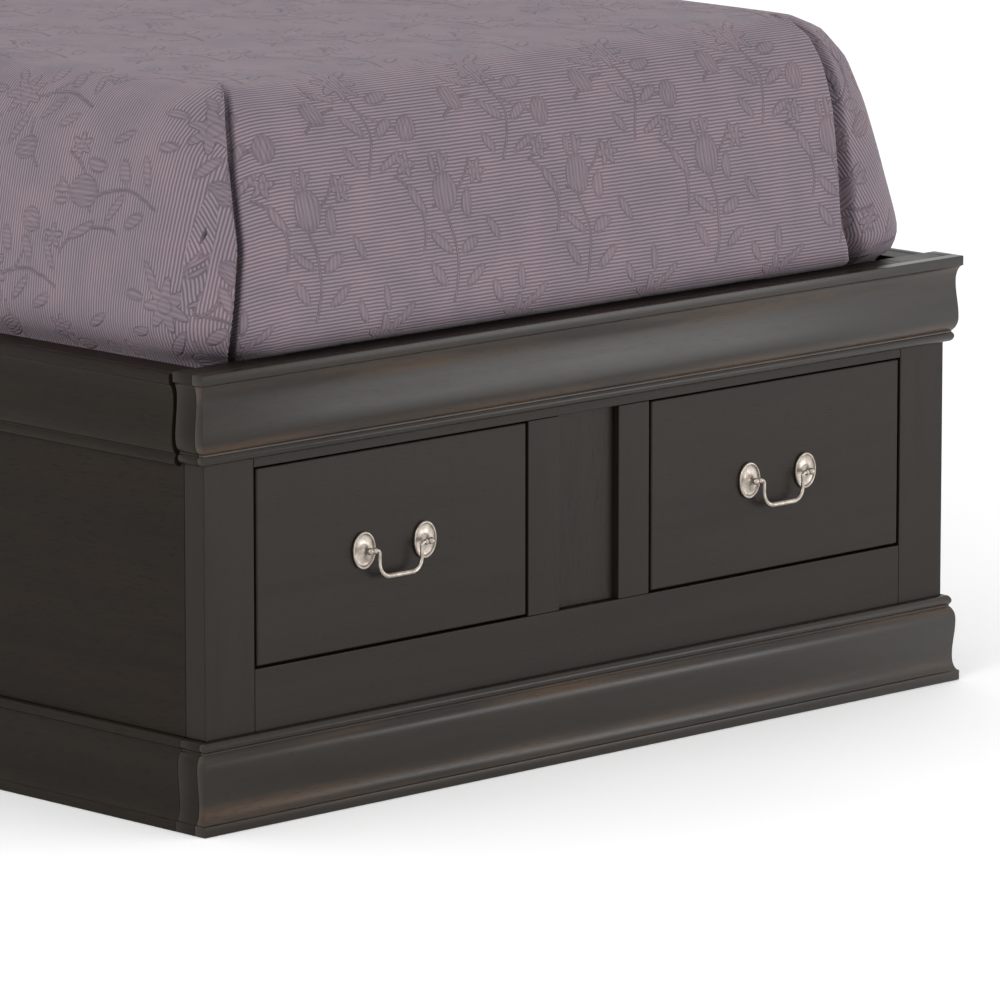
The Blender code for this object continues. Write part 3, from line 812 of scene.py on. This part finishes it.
def in_plan(distance, depth, out, straight):
    """A distance round the corner and a depth as a point in the corner's own plan."""
    radius = max(out - straight, 0.1 * MM)
    turn = np.clip((distance - straight) / radius, 0.0, math.pi / 2)
    before = np.minimum(distance - straight, 0.0)
    after = np.maximum(distance - straight - radius * math.pi / 2, 0.0)
    first = straight + (radius + depth) * np.cos(turn) - after
    second = straight + (radius + depth) * np.sin(turn) + before
    return first, second


def corner_patch(origin, first_way, second_way, fans, strip, fold, turned, drops, gap):
    """The cloth of one corner: rows down the drop, columns round the corner, and flat places."""
    columns = np.r_[np.linspace(-REACH, 0, strip + 1)[:-1], np.linspace(0, 1, fans + 1)]
    columns = np.r_[columns, 1 + np.linspace(0, REACH, strip + 1)[1:]]
    rows = []
    for row, length in enumerate(fall):
        z = (drops[0][row, 1] + drops[1][row, 1]) / 2
        straight = PLATEAU_IN - corner_centre(z)
        out = PLATEAU_IN - (drops[0][row, 0] + drops[1][row, 0]) / 2
        fan = length * math.pi / 2
        whole = 2 * straight + max(out - straight, 0.0) * math.pi / 2
        scale = float(np.clip((length - FOLD_BEGINS) / FOLD_GROWS, 0.0, 1.0)) ** 1.2
        fold_at = np.interp(z, fold[0], fold[1]) * (whole if fold[2] else 1.0)
        turn_in = np.interp(z, [0.50, 0.60], turned)
        spare = spare_cloth(fold_at, turn_in, whole, fan, scale, gap)
        route = pleat_route(fold_at, turn_in, spare, whole, scale, gap)
        places = np.where(columns < 0, columns, np.where(columns > 1, fan + columns - 1, columns * fan))
        lengths = route_lengths(route)
        end = length_at_end(route, whole)
        stretch = fan / max(end, 1e-6)
        past = fan + lengths - end
        lengths = np.where(lengths > end, past, np.where(lengths > 0, lengths * stretch, lengths))
        distance = np.interp(places, lengths, route[:, 0])
        depth = np.interp(places, lengths, route[:, 1])
        share = np.clip(distance / max(whole, 1e-6), 0.0, 1.0)
        outs = PLATEAU_IN - (drops[0][row, 0] * (1 - share) + drops[1][row, 0] * share)
        heights = drops[0][row, 1] * (1 - share) + drops[1][row, 1] * share
        first, second = in_plan(distance, depth, out, straight)
        nudge = outs - out
        turn = share * math.pi / 2
        first = first + nudge * np.cos(turn)
        second = second + nudge * np.sin(turn)
        angle = np.clip(columns, 0.0, 1.0) * math.pi / 2
        flat_first = length * np.cos(angle) - np.maximum(columns - 1, 0)
        flat_second = length * np.sin(angle) + np.minimum(columns, 0)
        spots = np.zeros((len(columns), 5))
        for place, (one, two) in ((0, (first, second)), (3, (flat_first, flat_second))):
            for axis in (0, 1):
                spots[:, place + axis] = origin[axis] + first_way[axis] * one + second_way[axis] * two
        spots[:, 2] = heights
        rows.append(spots)
    return np.array(rows)


def straight_patch(starts, way, drop):
    """The cloth that hangs from a straight run of the plateau's edge."""
    rows = []
    for row, length in enumerate(fall):
        spots = np.zeros((len(starts), 5))
        for axis in (0, 1):
            spots[:, axis] = starts[:, axis] + way[axis] * (PLATEAU_IN - drop[row, 0])
            spots[:, 3 + axis] = starts[:, axis] + way[axis] * length
        spots[:, 2] = drop[row, 1]
        rows.append(spots)
    return np.array(rows)


# %% Lay the cloth
FANS = {"foot": 120, "head": 40}
STRIP = {"foot": 20, "head": 8}
SPACING = 0.016


def edge_places(low, high, low_strip, high_strip):
    """Columns along one straight edge: close together near its corners."""
    count = round((high - low - 2 * REACH) / SPACING)
    places = np.linspace(low, low + REACH, low_strip + 1)[:-1]
    places = np.r_[places, np.linspace(low + REACH, high - REACH, count + 1)]
    return np.r_[places, np.linspace(high - REACH, high, high_strip + 1)[1:]]


across_bed = edge_places(-PLATEAU_X, PLATEAU_X, STRIP["foot"], STRIP["foot"])
along_bed = edge_places(PLATEAU_FOOT, PLATEAU_HEAD, STRIP["foot"], STRIP["head"])
LEFT, RIGHT, FOOT, HEAD = (-1, 0), (1, 0), (0, -1), (0, 1)
# A fold's heights, its edge's distance round the corner at each, and whether that is a share of it.
near_fold = (
    [0.47, 0.485, 0.50, 0.54, 0.58, 0.62, 0.66, 0.70],
    [0.56, 0.56, 0.57, 0.59, 0.61, 0.59, 0.57, 0.56],
    True,
)
far_fold = (
    [0.474, 0.49, 0.51, 0.53, 0.56, 0.62, 0.70],
    [0.012, 0.002, -0.009, -0.012, -0.009, -0.004, 0.0],
    False,
)
plain_fold = ([0.4, 0.8], [0.0, 0.0], False)
NEAR_GAP = (5 * MM, 5 * MM, 5 * MM)
FAR_GAP = (24 * MM, 8 * MM, 10 * MM)
PLAIN_GAP = (4 * MM, 20 * MM, 4 * MM)


def inner_run(places, low_strip, high_strip):
    """The part of an edge's columns between its two corner patches."""
    return places[low_strip:len(places) - high_strip]


def run_points(places, fixed, axis):
    """Points along an edge: places on one axis and a fixed value on the other."""
    points = np.full((len(places), 2), fixed)
    points[:, axis] = places
    return points


side_run = inner_run(along_bed, STRIP["foot"], STRIP["head"])
foot_run = inner_run(across_bed, STRIP["foot"], STRIP["foot"])
patches = [
    straight_patch(run_points(side_run[::-1], -PLATEAU_X, 1), LEFT, side_drop),
    corner_patch((-PLATEAU_X, PLATEAU_FOOT), LEFT, FOOT, FANS["foot"], STRIP["foot"],
                 near_fold, (9.0 * MM, 7.0 * MM), (side_drop, foot_drop), NEAR_GAP),
    straight_patch(run_points(foot_run, PLATEAU_FOOT, 0), FOOT, foot_drop),
    corner_patch((PLATEAU_X, PLATEAU_FOOT), FOOT, RIGHT, FANS["foot"], STRIP["foot"],
                 far_fold, (12.5 * MM, 10.0 * MM), (foot_drop, side_drop), FAR_GAP),
    straight_patch(run_points(side_run, PLATEAU_X, 1), RIGHT, side_drop),
    corner_patch((PLATEAU_X, PLATEAU_HEAD), RIGHT, HEAD, FANS["head"], STRIP["head"],
                 plain_fold, (2.5 * MM, 2.5 * MM), (side_drop, side_drop), PLAIN_GAP),
    straight_patch(run_points(foot_run[::-1], PLATEAU_HEAD, 0), HEAD, side_drop),
    corner_patch((-PLATEAU_X, PLATEAU_HEAD), HEAD, LEFT, FANS["head"], STRIP["head"],
                 plain_fold, (2.5 * MM, 2.5 * MM), (side_drop, side_drop), PLAIN_GAP),
]
print("patches round the bed:", [patch.shape[1] for patch in patches])


# %% [markdown]
# Real cloth is never flat: the drop has slow hollows and swells, the top is a little uneven, and
# the near pleat pulls a swell and a hollow beside its edge. Smooth noise moves the drop outwards
# and the top up by a few millimetres, and fades out at the hem, where the cloth is held.

# %% Slow folds
def slow_noise(spot, size, seed):
    """Smooth noise between about -1 and 1, with hollows of a size."""
    return noise.noise(Vector((spot[0] / size, spot[1] / size, spot[2] / size + seed)))


def hump(value, middle, width):
    """A smooth bump of height 1."""
    return math.exp(-((value - middle) / width) ** 2)


def unsettle(spot):
    """Where one point of the laid cloth goes when the cloth is a little slack."""
    x, y, z, u, v = spot
    over_x = max(abs(u) - PLATEAU_X, 0.0)
    over_y = max(PLATEAU_FOOT - v, v - PLATEAU_HEAD, 0.0)
    down = math.hypot(over_x, over_y)
    loose = min(1.0, down / 0.10) * min(1.0, max(0.0, (z - 0.474) / 0.045))
    swell = 0.0035 * slow_noise(spot, 0.16, 3.0) + 0.0016 * slow_noise(spot, 0.055, 8.0)
    out = loose * swell
    toward = (math.copysign(1, x), 0) if over_x > over_y else (0, math.copysign(1, y))
    flat = 1.0 - min(1.0, down / 0.05)
    lift = flat * 0.0022 * slow_noise(spot, 0.22, 5.0)
    x, y = x + toward[0] * out, y + toward[1] * out
    if u < 0 and v < 0 and over_x > 0 and over_y > 0:
        round_corner = down * math.atan2(over_y, over_x)
        pulled = hump(round_corner, 0.078, 0.017) * hump(z, 0.575, 0.075) * 0.0075
        pulled -= hump(round_corner, 0.108, 0.012) * hump(z, 0.56, 0.05) * 0.0025
        x, y = x + 0.8 * pulled, y + 0.6 * pulled
    return x, y, z + lift


# %% Join the patches into one cloth
def lay(bm, fabric, spots):
    """Add one grid of cloth, whose points carry their place on the flat cloth."""
    rows, columns = spots.shape[:2]
    made = bmesh.ops.create_grid(bm, x_segments=columns - 1, y_segments=rows - 1, size=1.0)["verts"]
    for vert in made:
        column = round((vert.co.x + 1) / 2 * (columns - 1))
        row = round((vert.co.y + 1) / 2 * (rows - 1))
        spot = spots[row, column]
        x, y, z = unsettle(spot)
        if y > 0:
            y = min(y, HEAD_STOP)
        vert.co = (x, y, z)
        vert[fabric] = (spot[3], spot[4], 0.0)


top_spots = np.zeros((len(along_bed), len(across_bed), 5))
top_spots[:, :, 0] = top_spots[:, :, 3] = across_bed[None, :]
top_spots[:, :, 1] = top_spots[:, :, 4] = along_bed[:, None]
top_spots[:, :, 2] = CLOTH_TOP
bm = bmesh.new()
fabric = bm.verts.layers.float_vector.new("fabric")
for spots in [top_spots, *patches]:
    lay(bm, fabric, spots)
bmesh.ops.remove_doubles(bm, verts=bm.verts, dist=0.05 * MM)
print("cloth points:", len(bm.verts), "open edges:", sum(e.is_boundary for e in bm.edges))

# %% [markdown]
# ## Coverlet: the weave
#
# The cloth is a cotton matelasse: fine ribs run across it, and flowers with finer tucks in place of
# the ribs are woven in, puffed up and outlined by stitches. The pattern follows the flat cloth,
# through its folds, because it reads each point's place on the flat cloth and not its place in the
# room. The flowers are a plain made-up spray. Every leaf, pod, petal and stem is a distance in
# millimetres from its own edge, and the smallest of these distances gives the puff, the stitched
# line and the end of the ribs. The cloth is one tone: the dark in the ribs' hollows, along the
# tucks and in the stitched lines is painted shade, and the light on the crests is painted highlight.

# %% Shapes of the woven spray
RIB_SPACING = 3.75     # all the weave's numbers are in millimetres
TUCK_SPACING = 5.2
TILE = (190.0, 270.0)


def leaf(tree, place, x, y, wide, long, turn):
    """Distance from the edge of an oval, which is negative inside it."""
    own = add(tree, "Mapping", {
        "Vector": place,
        "Location": (x, y, 0.0),
        "Rotation": (0.0, 0.0, math.radians(turn)),
        "Scale": (wide, long, 1.0),
    }, vector_type="TEXTURE")
    share = add(tree, "VectorMath", [own], output="Value", operation="LENGTH")
    return add(tree, "Math", [share, wide, -wide], operation="MULTIPLY_ADD")


def nearer(tree, one, other):
    """The smaller of two distances. It is taken after each shape, so that few are held at once."""
    return add(tree, "Math", [one, other], operation="MINIMUM")


def pod(tree, place, x, y, wide, long, turn):
    """A ribbed seed pod: its edge, and the curved lines down its face."""
    edge = leaf(tree, place, x, y, wide, long, turn)
    lines = 9.0
    for share in (0.3, 0.65):
        line = leaf(tree, place, x, y, wide * share, long, turn)
        line = add(tree, "Math", [line], operation="ABSOLUTE")
        lines = nearer(tree, line, lines)
    return edge, lines


def blossom(tree, place, x, y, radius, petals):
    """A flower seen from the front, with a wavy edge."""
    own = add(tree, "VectorMath", [place, (x, y, 0.0)], operation="SUBTRACT")
    parts = add(tree, "SeparateXYZ", [own], output="X").node.outputs
    turn = add(tree, "Math", [parts["Y"], parts["X"]], operation="ARCTAN2")
    wave = add(tree, "Math", [turn, petals], operation="MULTIPLY")
    wave = add(tree, "Math", [wave], operation="COSINE")
    edge = add(tree, "Math", [wave, 0.24 * radius, 0.76 * radius], operation="MULTIPLY_ADD")
    away = add(tree, "VectorMath", [own], output="Value", operation="LENGTH")
    return add(tree, "Math", [away, edge], operation="SUBTRACT")


def stem(tree, place, centre, radius, near, within):
    """An arc of a thin curved stem, kept within a distance of one point."""
    limits = []
    for point in (centre, near):
        own = add(tree, "VectorMath", [place, (*point, 0.0)], operation="SUBTRACT")
        limits.append(add(tree, "VectorMath", [own], output="Value", operation="LENGTH"))
    off = add(tree, "Math", [limits[0], radius], operation="SUBTRACT")
    off = add(tree, "Math", [off], operation="ABSOLUTE")
    body = add(tree, "Math", [off, 1.3], operation="SUBTRACT")
    beyond = add(tree, "Math", [limits[1], within], operation="SUBTRACT")
    return add(tree, "Math", [body, beyond], operation="MAXIMUM")


# %% Two sprays
POD_SPRAY = {
    "pairs": [(19, -24, 6, 15, -56), (26, -56, 6, 15, -48), (33, 18, 6, 15, -26), (8, 57, 4, 10, -22)],
    "leaves": [(0, 60, 4, 11, 0), (62, -14, 5, 14, 32)],
    "pods": [(0, 28, 17, 21, 6)],
    "blossoms": [(-50, 60, 14, 5), (47, 44, 15, 6)],
    "stems": [((-20, 78), 62, (20, 24), 40), ((-95, -5), 62, (-45, 12), 42)],
}
FLOWER_SPRAY = {
    "pairs": [(20, -32, 6, 15, -54), (35, 4, 6, 16, -68), (31, 50, 5, 13, -36), (26, -66, 5, 15, -50)],
    "leaves": [(0, 66, 5, 13, 0)],
    "pods": [(58, -38, 12, 15, -24), (-58, -10, 12, 15, 30)],
    "blossoms": [(0, 24, 27, 7)],
    "stems": [((62, 42), 81, (30, -30), 36), ((-20, -92), 84, (-52, -20), 28)],
}
SWAY = (0.045, 8.0)    # a middle stem's slow bend: turn per millimetre, and reach


def two_sided(tree, place):
    """The place folded over a swaying middle line, so that one leaf makes a pair, a little apart."""
    parts = add(tree, "SeparateXYZ", [place]).node.outputs
    bend = add(tree, "Math", [parts["Y"], SWAY[0]], operation="MULTIPLY")
    bend = add(tree, "Math", [bend], operation="SINE")
    side = add(tree, "Math", [bend, SWAY[1], parts["X"]], operation="MULTIPLY_ADD")
    apart = add(tree, "Math", [parts["X"], 0.14, parts["Y"]], operation="MULTIPLY_ADD")
    side = add(tree, "Math", [side], operation="ABSOLUTE")
    return add(tree, "CombineXYZ", [side, apart, 0.0])


def spray(tree, place, shapes, edge, line):
    """Add one spray's shapes to the distance from the nearest edge and from the nearest line."""
    folded = two_sided(tree, place)
    for numbers in shapes["pairs"]:
        edge = nearer(tree, edge, leaf(tree, folded, *numbers))
    across_stem = add(tree, "SeparateXYZ", [folded]).node.outputs
    middle = add(tree, "Math", [across_stem["X"], 1.3], operation="SUBTRACT")
    past = add(tree, "Math", [across_stem["Y"], 8.0], operation="SUBTRACT")
    low = add(tree, "Math", [-84.0, across_stem["Y"]], operation="SUBTRACT")
    past = add(tree, "Math", [past, low], operation="MAXIMUM")
    edge = nearer(tree, edge, add(tree, "Math", [middle, past], operation="MAXIMUM"))
    for numbers in shapes["leaves"]:
        edge = nearer(tree, edge, leaf(tree, place, *numbers))
    for numbers in shapes["stems"]:
        edge = nearer(tree, edge, stem(tree, place, *numbers))
    for x, y, radius, petals in shapes["blossoms"]:
        edge = nearer(tree, edge, blossom(tree, place, x, y, radius, petals))
        heart = leaf(tree, place, x, y, radius * 0.28, radius * 0.28, 0)
        line = nearer(tree, line, add(tree, "Math", [heart], operation="ABSOLUTE"))
    for numbers in shapes["pods"]:
        outside, stripes = pod(tree, place, *numbers)
        edge = nearer(tree, edge, outside)
        line = nearer(tree, line, stripes)
    return edge, line


# %% The woven cloth
matelasse, tree, shader = blank("woven cotton matelasse", {
    "Roughness": 0.80,
    "Sheen Weight": 0.12,
    "Sheen Roughness": 0.4,
    "Specular IOR Level": 0.3,
})
flat_place = add(tree, "Attribute", attribute_name="fabric", output="Vector")
in_mm = add(tree, "VectorMath", {"Vector": flat_place, "Scale": 1000.0}, operation="SCALE")
wander = add(tree, "TexNoise", [in_mm, 0.02, 1.0], output="Color")
wander = add(tree, "VectorMath", [wander, (9.0, 9.0, 0.0), (-4.5, -4.5, 0.0)], operation="MULTIPLY_ADD")
drawn = add(tree, "VectorMath", [in_mm, wander], operation="ADD")
edge, line = 9.0, 9.0
for shift, shapes in (((0.0, 0.0, 0.0), POD_SPRAY), ((95.0, 135.0, 0.0), FLOWER_SPRAY)):
    moved = add(tree, "VectorMath", [drawn, shift], operation="ADD")
    half_tile = (TILE[0] / 2, TILE[1] / 2, 1.0)
    other_half = (-TILE[0] / 2, -TILE[1] / 2, -1.0)
    place = add(tree, "VectorMath", [moved, half_tile, other_half], operation="WRAP")
    edge, line = spray(tree, place, shapes, edge, line)

puff = add(tree, "MapRange", [edge, 0.6, -2.4], interpolation_type="SMOOTHSTEP")
stitched = add(tree, "Math", [edge], operation="ABSOLUTE")
stitched = add(tree, "Math", [stitched, line], operation="MINIMUM")
groove = add(tree, "MapRange", [stitched, 1.3, 0.2], interpolation_type="SMOOTHSTEP")
across_cloth = add(tree, "SeparateXYZ", [in_mm], output="Y")
phase = add(tree, "Math", [across_cloth, 2 * math.pi / RIB_SPACING], operation="MULTIPLY")
uneven = add(tree, "TexNoise", [in_mm, 0.09, 2.0])
phase = add(tree, "Math", [uneven, 2.4, phase], operation="MULTIPLY_ADD")
rib = add(tree, "MapRange", [add(tree, "Math", [phase], operation="SINE"), -1.0, 1.0])
cover = add(tree, "MapRange", [edge, -0.4, 1.0], interpolation_type="SMOOTHSTEP")
rib_high = add(tree, "Math", [rib, cover], operation="MULTIPLY")

# %% Colour, painted shade and relief of the cloth
# The cloth's one mauve tone, with painted shade in each rib's hollow and a painted highlight on each
# rib's crest, laid over the rib bump.
cloth_tone_and_rib_shade = add(tree, "ValToRGB", [rib], stops=[(0.08, "625860"), (0.45, "7b7077"), (0.92, "8b8087")])
along_cloth = add(tree, "SeparateXYZ", [drawn], output="X")
tucks = add(tree, "Math", [along_cloth, 2 * math.pi / TUCK_SPACING], operation="MULTIPLY")
tucks = add(tree, "MapRange", [add(tree, "Math", [tucks], operation="SINE"), -1.0, 1.0])
# The flowers keep the cloth's tone, with painted shade and painted highlight following the tucks'
# relief.
flower_tone_and_tuck_shade = add(tree, "Mix", [tucks, "70656c", "7f747b"], data_type="RGBA")
colour = add(tree, "Mix", [cover, flower_tone_and_tuck_shade, cloth_tone_and_rib_shade], data_type="RGBA")
# Painted shade: the stitched groove round each shape and along the pod lines is darkened towards 4f454b.
groove_painted_shade = add(tree, "Math", [groove, 0.22], operation="MULTIPLY")
colour = add(tree, "Mix", [groove_painted_shade, colour, "4f454b"], data_type="RGBA")
cloud = add(tree, "TexNoise", [in_mm, 0.018, 3.0])
tint = add(tree, "ValToRGB", [cloud], stops=[(0.35, "ece9ee"), (0.65, "fff6f6")])
colour = add(tree, "Mix", [1.0, colour, tint], data_type="RGBA", blend_type="MULTIPLY")
slub = add(tree, "Mapping", {"Vector": in_mm, "Scale": (0.05, 0.8, 1.0)})
slub = add(tree, "TexNoise", [slub, 1.0, 2.0])
height = add(tree, "Math", [rib_high, 0.55], operation="MULTIPLY")
height = add(tree, "Math", [puff, 1.0, height], operation="MULTIPLY_ADD")
inside = add(tree, "Math", [tucks, puff], operation="MULTIPLY")
height = add(tree, "Math", [inside, 0.3, height], operation="MULTIPLY_ADD")
height = add(tree, "Math", [groove, -0.55, height], operation="MULTIPLY_ADD")
height = add(tree, "Math", [slub, 0.12, height], operation="MULTIPLY_ADD")
dress(tree, shader, colour, None, height, 1.0 * MM)
print("weave nodes:", len(tree.nodes))

# %% Publish the coverlet
coverlet = publish("coverlet_cloth", bm, matelasse, "coverlet", smooth=180)
cloth = coverlet.modifiers.new("thickness", "SOLIDIFY")
cloth.thickness = CLOTH_THICK
cloth.offset = -1.0

# %% [markdown]
# ## Floor, light and camera
#
# A plain white studio: a wide pale floor that glows a little, under an even near-white sky. A wide
# low strip on the front right and a high strip in front make the foot brighter than the side, and
# draw soft highlights along its mouldings. A box on the left lights the cloth. The camera is far
# away with a long lens, so that upright edges stay almost upright.

# %% Studio
FLOOR_HALF = 16.0


def sheet_of_floor():
    """A wide, thin slab whose top is half a millimetre under the bed."""
    bm = bmesh.new()
    bmesh.ops.create_cube(bm, size=1.0)
    bmesh.ops.scale(bm, vec=(2 * FLOOR_HALF, 2 * FLOOR_HALF, 0.02), verts=bm.verts)
    bmesh.ops.translate(bm, vec=(0, 0, -0.0105), verts=bm.verts)
    mesh = bpy.data.meshes.new("studio_floor")
    bm.to_mesh(mesh)
    bm.free()
    floor = bpy.data.objects.new("studio_floor", mesh)
    bpy.context.scene.collection.objects.link(floor)
    material, tree, shader = blank("white painted floor", {
        "Roughness": 0.7,
        "Specular IOR Level": 0.2,
        "Emission Color": linear("ffffff"),
        "Emission Strength": 0.10,
    })
    place = add(tree, "TexCoord", output="Object")
    cloud = add(tree, "TexNoise", [place, 3.0, 2.0])
    dress(tree, shader, add(tree, "ValToRGB", [cloud], stops=[(0.3, "fafafa"), (0.7, "fdfdfd")]))
    mesh.materials.append(material)


def soft_light(name, place, target, wide, high, power):
    """A soft box that looks at a point."""
    lamp = bpy.data.lights.new(name, "AREA")
    lamp.shape = "RECTANGLE"
    lamp.size = wide
    lamp.size_y = high
    lamp.energy = power
    box = bpy.data.objects.new(name, lamp)
    box.location = place
    box.rotation_euler = (Vector(target) - Vector(place)).to_track_quat("-Z", "Y").to_euler()
    bpy.context.scene.collection.objects.link(box)


sheet_of_floor()
sky = bpy.data.worlds.new("white sky")
bpy.context.scene.world = sky
sky.use_nodes = True
background = sky.node_tree.nodes["Background"]
background.inputs["Color"].default_value = linear("ffffff")
background.inputs["Strength"].default_value = 0.98
soft_light("low front strip", (2.8, -4.4, 0.50), (0.0, -1.0, 0.3), 3.2, 0.8, 38)
soft_light("high front strip", (0.1, -4.6, 3.2), (0.0, -1.0, 0.35), 4.2, 1.2, 8)
soft_light("left box", (-5.0, -2.2, 3.3), (0.0, -0.4, 0.4), 1.8, 1.8, 78)
print("lights:", len(bpy.data.lights))

# %% Camera
CAMERA_AT = (-5.93052572, -6.95832466, 1.8419268)
CAMERA_YAW, CAMERA_DOWN = math.radians(44.23367341), math.radians(10.59473111)
LENS, SENSOR = 295.90, 36.0
lens = bpy.data.cameras.new("camera")
lens.sensor_width = SENSOR
lens.lens = LENS
lens.clip_end = 100.0
camera = bpy.data.objects.new("camera", lens)
camera.location = CAMERA_AT
camera.rotation_euler = (math.pi / 2 - CAMERA_DOWN, 0.0, -CAMERA_YAW)
bpy.context.scene.collection.objects.link(camera)
bpy.context.scene.camera = camera
bpy.context.scene.view_settings.view_transform = "Standard"
print("camera", round((Vector(CAMERA_AT) - Vector((0, -1, 0.25))).length, 2), "m from the foot")

# %% Finish
bpy.context.view_layer.update()
